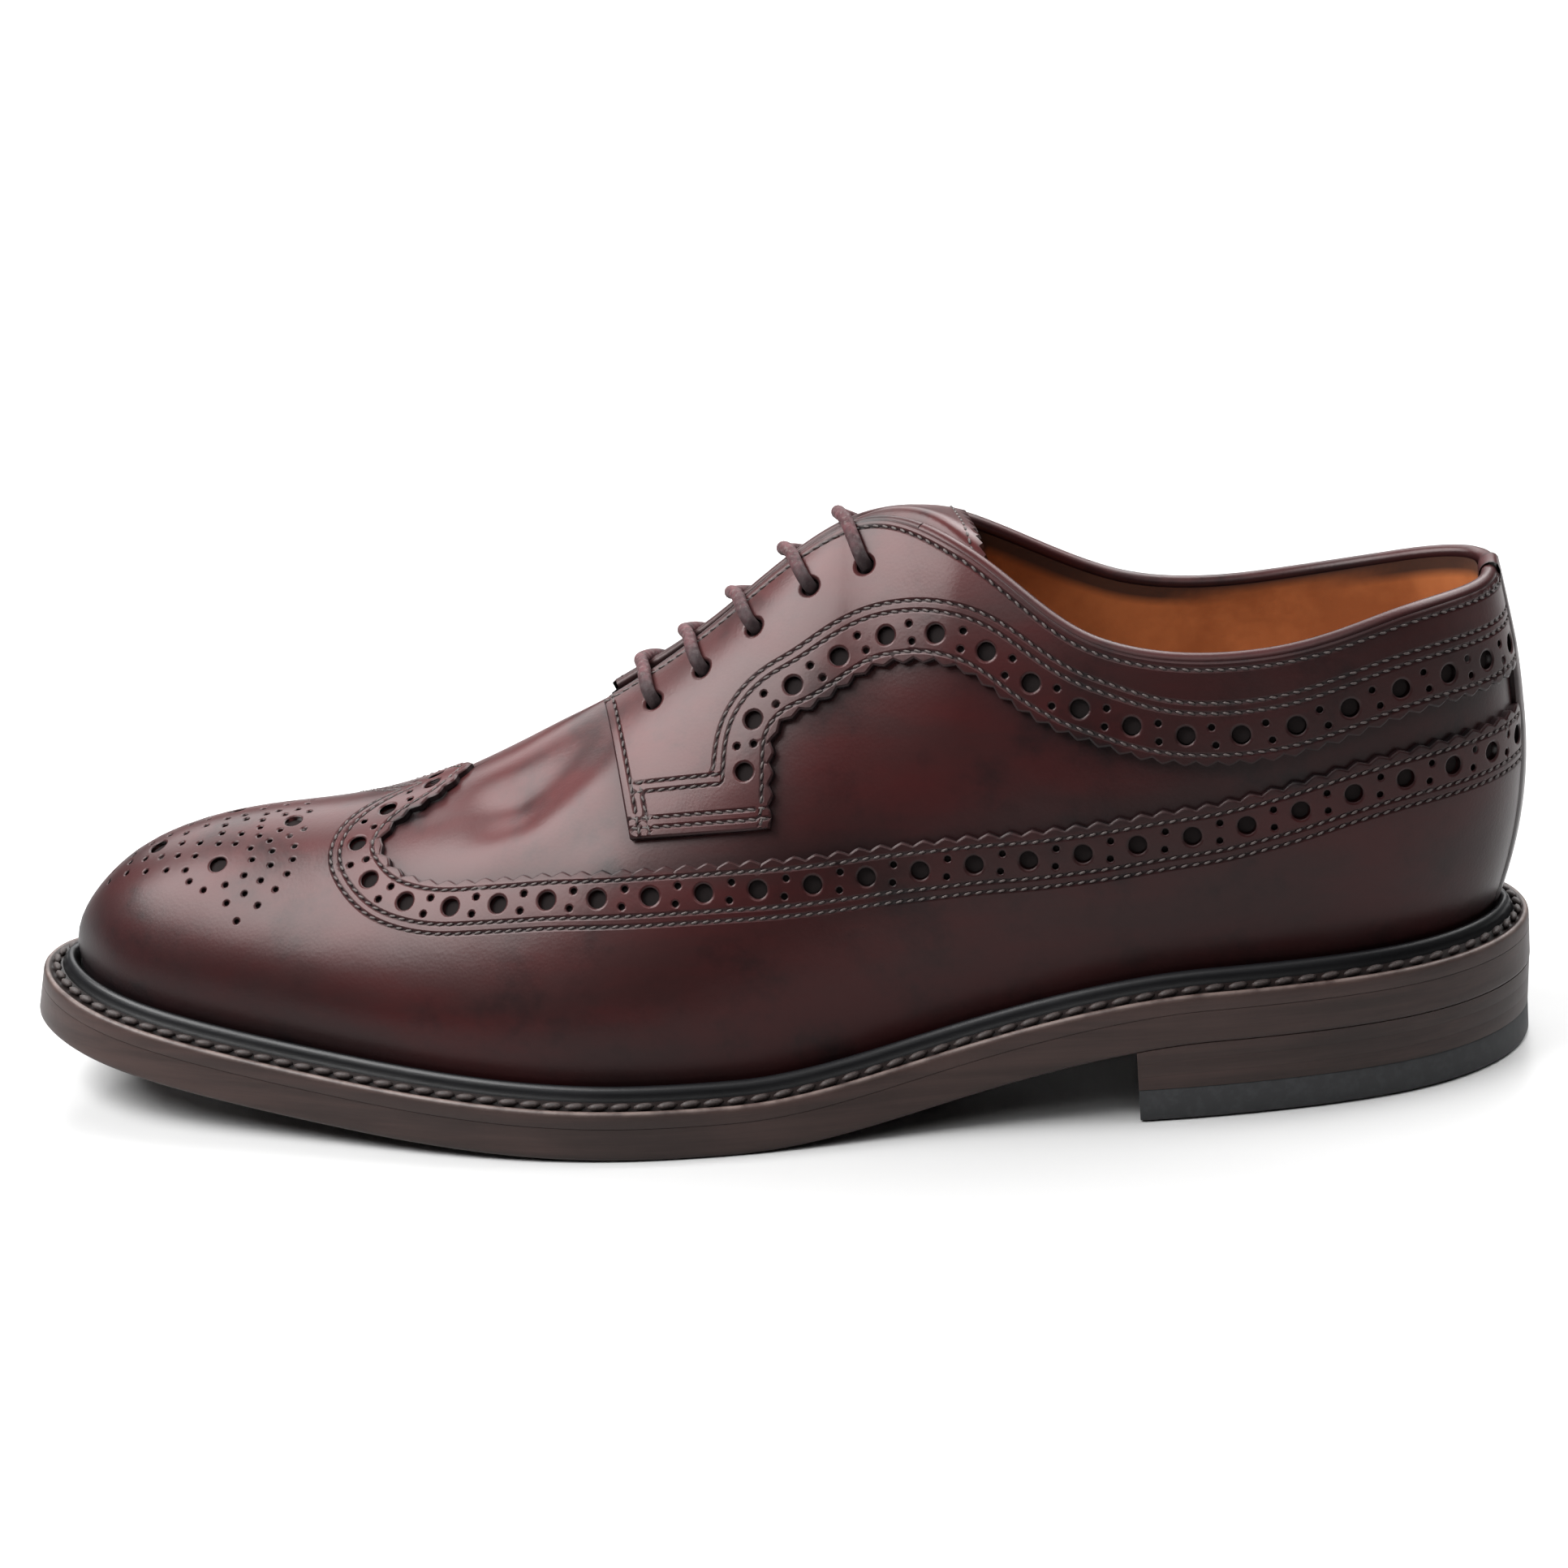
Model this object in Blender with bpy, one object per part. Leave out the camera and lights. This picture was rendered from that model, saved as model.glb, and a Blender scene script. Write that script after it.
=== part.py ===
"""Long-wing brogue derby, the left shoe, at its real size.

The shoe stands on its heel and ball with the toe towards -X and its lateral side towards -Y.
Every shape is worked out from two short tables: the outline of the sole, and the sections of the last.
Distances in the tables are millimetres, measured along the shoe from the back of the heel.
"""

import math

import bmesh
import bpy
import numpy as np

MM = 0.001

# Driving sizes of the bottom
LENGTH = 312 * MM
SOLE_THICK = 6.4 * MM
WELT_THICK = 3.4 * MM
SEAT_HEIGHT = 15.8 * MM
TOE_SPRING = 16 * MM
ARCH_BACK = 62 * MM
ARCH_FRONT = 157 * MM
TOE_START = 172 * MM
SOLE_CHAMFER = 0.8 * MM
HEEL_BREAST = 78 * MM
TOP_PIECE_THICK = 6.5 * MM
HEEL_INSET = 0.4 * MM
HEEL_TAPER = 1.0 * MM

# Width of the rim that the sole shows round the upper
RIM_SIDE = 12 * MM
RIM_HEEL = 8.5 * MM
RIM_TOE = 9 * MM
WELT_TONGUE = 6 * MM
RIB_FOOT = 5.2 * MM
RIB_SHOULDER = 4.8 * MM
RIB_CROWN = 4.2 * MM
RIB_LIP = 3.4 * MM
RIB_ROOT = 2.0 * MM
RIB_HEIGHT = 2.6 * MM
RIB_SHOULDER_SHARE = 0.7
RIB_LIP_SHARE = 0.9
WELT_BEVEL = 0.6 * MM

# Leather thicknesses and the clearance between pieces
GAP = 0.3 * MM
FEATHER_GAP = 0.5 * MM
OVERLAY_GAP = 0.4 * MM
TONGUE_GAP = 0.6 * MM
UPPER_WALL = 2.2 * MM
WING_THICK = 1.2 * MM
FACING_THICK = 1.6 * MM
STRIP_THICK = 1.2 * MM
TONGUE_THICK = 1.7 * MM
INSOLE_THICK = 2.8 * MM
INSOLE_CLEARANCE = 0.6 * MM

# Where the wall's top turns from square to the outline, at the heel, to straight across, at the ball
TURN_BACK = 60 * MM
TURN_FRONT = 160 * MM

# Pattern sizes: the open edge lies this far below the crest of the last
EDGE_DROP = 6 * MM
THROAT = 184 * MM
WING_FOOT = 1.5 * MM
WING_FOOT_MOST_SHARE = 0.3
WING_FRONT = 232 * MM
WING_PEAK = 214 * MM
TAB_BACK = 147.5 * MM
TAB_FOOT_FRONT = 176.3 * MM
TAB_RISE = 51 * MM
TAB_SHOULDER_FRONT = 62 * MM
TAB_SHOULDER = 0.35
TONGUE_ROOT = 200 * MM
TONGUE_TOP = 112 * MM
STRIP_WAY = 0.024
STRIP_CLEARANCE_WAY = 0.0016

# Lacing
EYELETS = 5
EYELET_FIRST = 172 * MM
EYELET_PITCH = 10.2 * MM
EYELET_DROP = 16 * MM
EYELET_RADIUS = 1.7 * MM
PUNCH_REACH = 5 * MM
LACE_RADIUS = 1.5 * MM
LACE_SIDES = 6
LACE_STATIONS = 4
LACE_CLEARANCE = 0.5 * MM
LACE_ARCH = 1.4 * MM

LATERAL, MEDIAL = 0, 1
SIDES = (LATERAL, MEDIAL)

OUTLINE_COLUMNS = ("along", "lateral", "medial")
OUTLINE = (
    (0, 4, 4),
    (6, -15.5, 23),
    (22, -30.5, 35),
    (50, -40.5, 39.5),
    (80, -45, 36.5),
    (115, -47.5, 31.5),
    (150, -55, 38),
    (185, -58, 50),
    (216, -52.5, 57.5),
    (246, -43, 55),
    (271, -35, 46),
    (292, -26, 35),
    (306, -13, 22),
    (312, 4.5, 4.5),
)

# Each row is a section of the last. The crest is the top of the section: crest_half is half its width, and
# tilt lifts its lateral side. Lean and low aim the wall at its foot, slope and high aim it at the crest.
LAST_COLUMNS = (
    "along", "crest_along", "crest_y", "crest_z", "crest_half", "tilt",
    "lean_0", "low_0", "slope_0", "high_0", "lean_1", "low_1", "slope_1", "high_1",
)
LAST = (
    (0, 7, 4, 103, 0, 0, 68, 33, 80, 25, 68, 33, 80, 25),
    (8, 10, 3.5, 102.6, 13.4, 0, 70, 31, 80, 25, 70, 31, 80, 25),
    (24, 24, 0, 101.2, 23.8, 0.7, 72, 28, 82, 25, 72, 28, 82, 25),
    (50, 50, -1, 96.5, 29.5, 0.2, 74, 26, 80, 22, 76, 26, 80, 22),
    (80, 83, -0.7, 99.2, 25.7, 0.2, 78, 28, 70, 28, 86, 28, 72, 28),
    (110, 108, 0.8, 113.5, 15.2, 1.5, 80, 30, 52, 32, 94, 30, 56, 32),
    (135, 132, 2, 115.5, 1, 0.5, 80, 30, 32, 34, 96, 30, 36, 34),
    (160, 160, 2, 95.3, 0, 0, 76, 28, 16, 28, 90, 28, 20, 28),
    (185, 185, 2.5, 78.3, 0, 0, 70, 24, 3, 26, 76, 24, 3, 28),
    (210, 210, 3, 65.4, 0, 0, 66, 20, 0, 24, 68, 20, 0, 27),
    (235, 235, 4, 57, 0, 0, 64, 18, 0, 22, 66, 18, 0, 25),
    (260, 259, 5, 54.3, 0, 0, 64, 17, 0, 20, 66, 17, 0, 21),
    (282, 277, 5, 51, 0, 0, 66, 15, 0, 16, 68, 15, 0, 16),
    (298.5, 290.5, 5, 44.3, 0, 0, 70, 11, 0, 11, 72, 11, 0, 11),
    (307.5, 298.5, 5, 36, 0, 0, 80, 6, 0, 6, 80, 6, 0, 6),
    (312, 301.5, 4.5, 27, 0, 0, 90, 0, 0, 0, 90, 0, 0, 0),
)
ANGLES = ("lean_0", "slope_0", "lean_1", "slope_1")

# Top edge of the wing: how far it rises from the feather line, and its point on the vamp, down from the crest
WING_EDGE_COLUMNS = ("along", "rise")
WING_EDGE = (
    (0, 45), (22, 44), (36, 42), (50, 38.5), (64, 35.8), (78, 35.3), (92, 36.4), (110, 40), (130, 43.3),
    (155, 44.9), (190, 44.4), (207, 42.7), (219, 41.3), (226, 42.3), (230, 45.5), (232, 49),
)
WING_POINT_COLUMNS = ("along", "drop")
WING_POINT = ((214, 0), (218, 6.2), (222, 9.2), (226, 10.8), (229, 13.3), (231, 15.7), (232, 19))

# Lower edge of the facing and its quarter band, down from the crest
QUARTER_EDGE_COLUMNS = ("along", "drop")
QUARTER_EDGE = (
    (0, 25.3), (22, 25.3), (50, 26), (66, 26), (80, 25.6), (90, 27.3), (100, 28.7), (108, 29), (116, 31),
    (122, 33.8), (129, 37), (135, 40.5), (140, 41.8), (145, 40.8), (147.5, 42.5),
)

# Sides of the tongue, down from the crest
TONGUE_COLUMNS = ("along", "drop")
TONGUE = ((112, 7), (118, 9), (125, 12), (133, 16), (141, 19), (150, 20), (200, 20))

# How finely the pieces are divided
RIM_STATIONS = 33
LAST_STATIONS = 36
UPPER_ROWS = 11
CREST_ROWS = 2
WING_POINT_STATIONS = 6
WING_ROWS = 5
WING_ROW_SPREAD = 1.25
FACING_ROWS = 4
TAB_STATIONS = 4
STRIP_STATIONS = 3
STRIP_ROWS = 10
TONGUE_ROWS = 4
RISE_SAMPLES = 80
WELD = 0.02 * MM
SHARP_EDGE = math.radians(40)
PUNCH_SIDES = 10
HEEL_STATIONS = 16


def column(table, columns, name):
    """One column of a table, in metres or, for an angle, in radians."""
    values = np.array([row[columns.index(name)] for row in table], float)
    return np.radians(values) if name in ANGLES else values * MM


def way_at(along):
    """The way from the heel's back, 0, to the toe's tip, 1, closer set at both ends than the distance along."""
    return np.arccos(np.clip(1 - 2 * np.asarray(along, float) / LENGTH, -1, 1)) / math.pi


def along_at(way):
    return LENGTH * (1 - np.cos(math.pi * np.asarray(way, float))) / 2


def smooth_curve(places, values, level_start=False):
    """A natural cubic spline, level at its start where asked."""
    count = len(places)
    steps = np.diff(places)
    slopes = np.diff(values) / steps
    matrix = np.eye(count)
    right = np.zeros(count)
    for i in range(1, count - 1):
        matrix[i, i - 1 : i + 2] = steps[i - 1], 2 * (steps[i - 1] + steps[i]), steps[i]
        right[i] = 6 * (slopes[i] - slopes[i - 1])
    if level_start:
        matrix[0, :2] = 2 * steps[0], steps[0]
        right[0] = 6 * slopes[0]
    bends = np.linalg.solve(matrix, right)

    def curve(place):
        place = np.asarray(place, float)
        i = np.clip(np.searchsorted(places, place, side="right") - 1, 0, count - 2)
        before = places[i + 1] - place
        after = place - places[i]
        step = steps[i]
        cubic = (bends[i] * before**3 + bends[i + 1] * after**3) / (6 * step)
        start = (values[i] / step - bends[i] * step / 6) * before
        return cubic + start + (values[i + 1] / step - bends[i + 1] * step / 6) * after

    return curve


def steady_curve(places, values):
    """A cubic that never swings past its points: it is level where they turn or stay level."""
    steps = np.diff(places)
    slopes = np.diff(values) / steps
    tangents = np.zeros(len(places))
    tangents[0] = slopes[0]
    tangents[-1] = slopes[-1]
    for i in range(1, len(places) - 1):
        if slopes[i - 1] * slopes[i] > 0:
            tangents[i] = 2 / (1 / slopes[i - 1] + 1 / slopes[i])

    def curve(place):
        place = np.asarray(place, float)
        i = np.clip(np.searchsorted(places, place, side="right") - 1, 0, len(places) - 2)
        step = steps[i]
        t = np.clip((place - places[i]) / step, 0, 1)
        ends = values[i] * (1 + 2 * t) * (1 - t) ** 2 + values[i + 1] * t * t * (3 - 2 * t)
        return ends + step * (tangents[i] * t * (1 - t) ** 2 + tangents[i + 1] * t * t * (t - 1))

    return curve


OUTLINE_WAY = way_at(column(OUTLINE, OUTLINE_COLUMNS, "along"))
RIM_Y = [smooth_curve(OUTLINE_WAY, column(OUTLINE, OUTLINE_COLUMNS, name)) for name in OUTLINE_COLUMNS[1:]]
LAST_WAY = way_at(column(LAST, LAST_COLUMNS, "along"))
STEADY = ("crest_half", "tilt", "slope_0", "slope_1")


def last_curve(name):
    values = column(LAST, LAST_COLUMNS, name)
    if name in STEADY:
        return steady_curve(LAST_WAY, values)
    return smooth_curve(LAST_WAY, values, level_start=name != "crest_y")


LAST_CURVES = {name: last_curve(name) for name in LAST_COLUMNS[1:]}


def table_curve(table, columns):
    return steady_curve(column(table, columns, columns[0]), column(table, columns, columns[1]))


WING_RISE = table_curve(WING_EDGE, WING_EDGE_COLUMNS)
WING_DROP = table_curve(WING_POINT, WING_POINT_COLUMNS)
QUARTER_DROP = table_curve(QUARTER_EDGE, QUARTER_EDGE_COLUMNS)
TONGUE_DROP = table_curve(TONGUE, TONGUE_COLUMNS)


def rim_point(side, way):
    """The sole's outline in plan."""
    return np.stack([LENGTH / 2 - along_at(way), RIM_Y[side](way)], -1)


def rim_normal(side, way):
    step = 1e-4
    way = np.clip(way, step, 1 - step)
    tangent = rim_point(side, way + step) - rim_point(side, way - step)
    normal = np.stack([-tangent[..., 1], tangent[..., 0]], -1)
    normal /= np.linalg.norm(normal, axis=-1, keepdims=True)
    if side == MEDIAL:
        normal = -normal
    ends = ((way <= step) | (way >= 1 - step))[..., None]
    return np.where(ends, np.sign(normal) * np.array([1, 0]), normal)


def ground(along):
    """Height of the sole's underside: seat, arch, flat tread and toe spring."""
    arch = np.clip((ARCH_FRONT - along) / (ARCH_FRONT - ARCH_BACK), 0, 1)
    toe = np.clip((along - TOE_START) / (LENGTH - TOE_START), 0, None)
    return SEAT_HEIGHT * arch * arch * (3 - 2 * arch) + TOE_SPRING * toe * toe


def ground_slope(along):
    step = 0.01 * MM
    return (ground(along + step) - ground(along - step)) / (2 * step)


def bottom_point(side, way, inset, height):
    """A point this far in from the sole's outline and this high above its underside, square to it."""
    plan = rim_point(side, way) - rim_normal(side, way) * np.asarray(inset)[..., None]
    along = LENGTH / 2 - plan[..., 0]
    slope = ground_slope(along)
    square = 1 / np.sqrt(1 + slope * slope)
    return np.stack([plan[..., 0] + height * slope * square, plan[..., 1], ground(along) + height * square], -1)


def rim_width(way):
    way = np.asarray(way, float)
    end = np.where(way < 0.5, RIM_HEEL, RIM_TOE)
    return RIM_SIDE + (end - RIM_SIDE) * (1 - np.sin(math.pi * way)) ** 2


def crest(side, way):
    sign = -1 if side == LATERAL else 1
    y = LAST_CURVES["crest_y"](way) + sign * LAST_CURVES["crest_half"](way)
    z = LAST_CURVES["crest_z"](way) - sign * LAST_CURVES["tilt"](way)
    return np.stack([LENGTH / 2 - LAST_CURVES["crest_along"](way), y, z], -1)


def aimed(plan, angle, length):
    return np.concatenate([plan * (np.cos(angle) * length)[..., None], (np.sin(angle) * length)[..., None]], -1)


def last_point(side, way, share):
    """A point of the last: share goes from 0 at the feather line to 1 at the crest."""
    way, share = np.broadcast_arrays(np.asarray(way, float), np.asarray(share, float))
    foot = bottom_point(side, way, rim_width(way), SOLE_THICK + GAP + WELT_THICK + FEATHER_GAP)
    top = crest(side, way)
    lean, low, slope, high = [LAST_CURVES[f"{name}_{side}"](way) for name in ("lean", "low", "slope", "high")]
    outward = rim_normal(side, way)
    turn = np.clip((along_at(way) - TURN_BACK) / (TURN_FRONT - TURN_BACK), 0, 1)
    turn = (turn * turn * (3 - 2 * turn))[..., None]
    across = outward * (1 - turn) + np.array([0, -1 if side == LATERAL else 1]) * turn
    across /= np.linalg.norm(across, axis=-1, keepdims=True)
    foot_aim = foot + aimed(outward, lean, low)
    top_aim = top + aimed(across, -slope, high)
    v = share[..., None]
    return foot * (1 - v) ** 3 + 3 * foot_aim * v * (1 - v) ** 2 + 3 * top_aim * v * v * (1 - v) + top * v**3


def last_normal(side, way, share):
    step = 1e-4
    if way > 1 - step:
        return np.array([-1.0, 0, 0])
    way = max(way, step)
    share = min(max(share, step), 1 - step)
    along_way = last_point(side, way + step, share) - last_point(side, way - step, share)
    up_wall = last_point(side, way, share + step) - last_point(side, way, share - step)
    normal = np.cross(up_wall, along_way) if side == LATERAL else np.cross(along_way, up_wall)
    return normal / np.linalg.norm(normal)


def wall_lengths(side, way):
    shares = np.linspace(0, 1, RISE_SAMPLES)
    points = last_point(side, np.full(RISE_SAMPLES, way), shares)
    return shares, np.concatenate([[0], np.cumsum(np.linalg.norm(np.diff(points, axis=0), axis=1))])


def share_at_rise(side, way, rise):
    shares, lengths = wall_lengths(side, way)
    return float(np.interp(rise, lengths, shares))


def share_at_drop(side, way, drop):
    shares, lengths = wall_lengths(side, way)
    return float(np.interp(lengths[-1] - drop, lengths, shares))


class Patch:
    """Faces laid on the last, each corner kept once, to be given a thickness."""

    def __init__(self):
        self.index = {}
        self.points = []
        self.normals = []
        self.faces = []

    def corner(self, side, way, share):
        return self.place(last_point(side, way, share), last_normal(side, way, share))

    def place(self, point, normal):
        key = tuple(np.round(point / WELD).astype(int))
        if key not in self.index:
            self.index[key] = len(self.points)
            self.points.append(point)
            self.normals.append(np.zeros(3))
        number = self.index[key]
        self.normals[number] = self.normals[number] + normal
        return number

    def grid(self, rows):
        for upper, lower in zip(rows[1:], rows[:-1]):
            for i in range(len(lower) - 1):
                face = (lower[i], lower[i + 1], upper[i + 1], upper[i])
                face = [n for k, n in enumerate(face) if n != face[k - 1]]
                if len(face) > 2:
                    self.faces.append(face)

    def thicken(self, name, inner, outer, material):
        """A closed solid from inner to outer, both measured outwards from the last."""
        points = np.array(self.points)
        normals = np.array(self.normals)
        normals /= np.linalg.norm(normals, axis=1, keepdims=True)
        count = len(points)
        faces = [list(face) for face in self.faces]
        edges = {}
        for face in faces:
            for a, b in zip(face, face[1:] + face[:1]):
                edges.setdefault((min(a, b), max(a, b)), []).append((a, b))
        walls = [(a, b, b + count, a + count) for ((a, b), *more) in edges.values() if not more]
        under = [[n + count for n in reversed(face)] for face in faces]
        return solid(name, np.concatenate([points + normals * outer, points + normals * inner]),
                     faces + under + walls, material)


def solid(name, points, faces, material):
    mesh = bpy.data.meshes.new(name)
    made = bmesh.new()
    corners = [made.verts.new(point) for point in points]
    for face in faces:
        made.faces.new([corners[n] for n in face])
    bmesh.ops.recalc_face_normals(made, faces=made.faces)
    made.to_mesh(mesh)
    made.free()
    mesh.shade_smooth()
    mesh.set_sharp_from_angle(angle=SHARP_EDGE)
    mesh.materials.append(material)
    obj = bpy.data.objects.new(name, mesh)
    bpy.context.scene.collection.objects.link(obj)
    return obj


def finish(name, colour, roughness):
    material = bpy.data.materials.new(name)
    material.use_nodes = True
    shader = material.node_tree.nodes["Principled BSDF"]
    shader.inputs["Base Color"].default_value = (*colour, 1)
    shader.inputs["Roughness"].default_value = roughness
    material.diffuse_color = (*colour, 1)
    return material


def rim_loop(ways, inset, height):
    """Points right round the shoe: the lateral side from heel to toe, then the medial side back again."""
    insets = np.broadcast_to(inset, ways.shape)
    lateral = bottom_point(LATERAL, ways, insets, height)
    medial = bottom_point(MEDIAL, ways, insets, height)
    ends = (lateral[[0, -1]] + medial[[0, -1]]) / 2
    return np.concatenate([ends[:1], lateral[1:-1], ends[1:], medial[-2:0:-1]])


def ladder(first, count):
    """Faces that close a loop, from each lateral point across to the medial point beside it."""
    half = count // 2
    faces = []
    for i in range(half):
        face = [first + i, first + i + 1, first + (count - i - 1) % count, first + (count - i) % count]
        faces.append([n for k, n in enumerate(face) if n != face[k - 1]])
    return faces


def stacked(name, loops, closed, material):
    """A solid through loops of equal length: capped by ladders, or joined back to the first loop."""
    count = len(loops[0])
    faces = []
    pairs = list(range(len(loops) - 1))
    for k in pairs + ([len(loops) - 1] if closed else []):
        low = k * count
        high = (k + 1) % len(loops) * count
        faces += [(low + i, low + (i + 1) % count, high + (i + 1) % count, high + i) for i in range(count)]
    if not closed:
        faces += ladder(0, count) + ladder((len(loops) - 1) * count, count)
    return solid(name, np.concatenate(loops), faces, material)


RIM_WAYS = np.linspace(0, 1, RIM_STATIONS)
WELT_TOP = SOLE_THICK + GAP + WELT_THICK


def build_outsole(material):
    core = rim_width(RIM_WAYS) + WELT_TONGUE + GAP
    loops = [
        rim_loop(RIM_WAYS, SOLE_CHAMFER, 0),
        rim_loop(RIM_WAYS, 0, SOLE_CHAMFER),
        rim_loop(RIM_WAYS, 0, SOLE_THICK),
        rim_loop(RIM_WAYS, core, SOLE_THICK),
        rim_loop(RIM_WAYS, core, WELT_TOP),
    ]
    return stacked("outsole", loops, False, material)


def build_welt(material):
    rim = rim_width(RIM_WAYS)
    base = SOLE_THICK + GAP
    loops = [
        rim_loop(RIM_WAYS, rim + WELT_TONGUE, base),
        rim_loop(RIM_WAYS, 0, base),
        rim_loop(RIM_WAYS, 0, WELT_TOP - WELT_BEVEL),
        rim_loop(RIM_WAYS, WELT_BEVEL, WELT_TOP),
        rim_loop(RIM_WAYS, rim - RIB_FOOT, WELT_TOP),
        rim_loop(RIM_WAYS, rim - RIB_SHOULDER, WELT_TOP + RIB_SHOULDER_SHARE * RIB_HEIGHT),
        rim_loop(RIM_WAYS, rim - RIB_CROWN, WELT_TOP + RIB_HEIGHT),
        rim_loop(RIM_WAYS, rim - RIB_LIP, WELT_TOP + RIB_LIP_SHARE * RIB_HEIGHT),
        rim_loop(RIM_WAYS, rim - RIB_ROOT, WELT_TOP),
        rim_loop(RIM_WAYS, rim + WELT_TONGUE, WELT_TOP),
    ]
    return stacked("welt", loops, True, material)


def build_insole(material):
    inset = rim_width(RIM_WAYS) + UPPER_WALL + INSOLE_CLEARANCE
    loops = [
        rim_loop(RIM_WAYS, inset, WELT_TOP + GAP),
        rim_loop(RIM_WAYS, inset, WELT_TOP + GAP + INSOLE_THICK),
    ]
    return stacked("insole", loops, False, material)


def heel_loop(inset, height_of):
    """Points round the heel, from the breast's lateral corner round the back to its medial corner."""
    ways = np.linspace(way_at(HEEL_BREAST), 0, HEEL_STATIONS)
    halves = [rim_point(side, ways) - rim_normal(side, ways) * inset for side in SIDES]
    back = (halves[0][-1:] + halves[1][-1:]) / 2
    plan = np.concatenate([halves[0][:-1], back, halves[1][-2::-1]])
    plan[[0, -1], 0] = LENGTH / 2 - HEEL_BREAST
    heights = height_of(LENGTH / 2 - plan[:, 0])
    return np.column_stack([plan, np.broadcast_to(heights, len(plan))])


def heel_block(name, top, base, material):
    """A solid between two heel loops, its caps laddered across and its breast closed by one face."""
    count = len(top)
    faces = [(i, i + 1, count + i + 1, count + i) for i in range(count - 1)]
    faces.append((count - 1, 0, count, 2 * count - 1))
    for first in (0, count):
        for i in range(count // 2):
            face = [first + i, first + i + 1, first + count - 2 - i, first + count - 1 - i]
            faces.append([n for k, n in enumerate(face) if n != face[k - 1]])
    return solid(name, np.concatenate([top, base]), faces, material)


def build_heel(stack_material, rubber_material):
    total = float(ground(0))
    joint = HEEL_INSET + HEEL_TAPER * (1 - TOP_PIECE_THICK / total)
    heel_block(
        "heel_stack",
        heel_loop(HEEL_INSET, lambda along: ground(along) - GAP),
        heel_loop(joint, lambda along: TOP_PIECE_THICK + GAP),
        stack_material,
    )
    heel_block(
        "heel_top_piece",
        heel_loop(joint, lambda along: TOP_PIECE_THICK),
        heel_loop(HEEL_INSET + HEEL_TAPER, lambda along: 0 * along),
        rubber_material,
    )


def shared_ways():
    """The stations that every piece on the last shares: the ends of its pieces, and even steps between them."""
    ends = [0.0, STRIP_WAY + STRIP_CLEARANCE_WAY]
    ends += [float(way_at(along)) for along in (TONGUE_TOP, TAB_BACK, THROAT, TONGUE_ROOT, WING_PEAK, WING_FRONT)]
    ends.append(1.0)
    ways = [ends[0]]
    for first, last in zip(ends[:-1], ends[1:]):
        ways += list(np.linspace(first, last, max(1, round((last - first) * LAST_STATIONS)) + 1)[1:])
    return np.array(ways)


def ways_between(first, last):
    ways = shared_ways()
    return ways[(ways > first - 1e-6) & (ways < last + 1e-6)]


def edge_share(side, way):
    return share_at_drop(side, way, EDGE_DROP)


def build_upper(material):
    """Vamp and quarters as one wall, open along the collar, the throat and the feather line."""
    patch = Patch()
    throat = float(way_at(THROAT))
    back = ways_between(0, throat)
    front = ways_between(throat, 1)
    for side in SIDES:
        edges = {way: edge_share(side, way) for way in (*back, *front)}
        wall = [[patch.corner(side, way, edges[way] * k / UPPER_ROWS) for k in range(UPPER_ROWS + 1)]
                for way in (*back, *front[1:])]
        patch.grid(wall)
        tops = [[patch.corner(side, way, edges[way] + (1 - edges[way]) * k / CREST_ROWS)
                 for k in range(CREST_ROWS + 1)] for way in front]
        patch.grid(tops)
    return patch.thicken("upper", -UPPER_WALL, 0, material)


def foot_share(side, way):
    return min(share_at_rise(side, way, WING_FOOT), WING_FOOT_MOST_SHARE)


def build_wing(material):
    """Toe cap with a point on the vamp, whose wings run back along both sides to the strip at the heel."""
    patch = Patch()
    start = STRIP_WAY + STRIP_CLEARANCE_WAY
    peak = float(way_at(WING_PEAK))
    turn = float(way_at(WING_FRONT))
    point_ways = peak + (turn - peak) * np.sin(np.linspace(0, math.pi / 2, WING_POINT_STATIONS))
    back_ways = np.concatenate([ways_between(start, peak), point_ways[1:]])
    toe_ways = ways_between(turn, 1)
    steps = (np.arange(WING_ROWS + 1) / WING_ROWS) ** WING_ROW_SPREAD
    for side in SIDES:
        split = share_at_rise(side, turn, float(WING_RISE(WING_FRONT)))

        def row(way, low, high):
            return [patch.corner(side, way, low + (high - low) * step) for step in steps]

        patch.grid([row(way, foot_share(side, way), share_at_rise(side, way, float(WING_RISE(along_at(way)))))
                    for way in back_ways])
        patch.grid([row(way, foot_share(side, way), split) for way in toe_ways])
        patch.grid([row(way, split, 1) for way in toe_ways])
        drops = [share_at_drop(side, way, float(WING_DROP(along_at(way)))) for way in point_ways[:-1]]
        patch.grid([row(way, low, 1) for way, low in zip(point_ways, drops + [split])])
    return patch.thicken("wing", OVERLAY_GAP, OVERLAY_GAP + WING_THICK, material)


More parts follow.
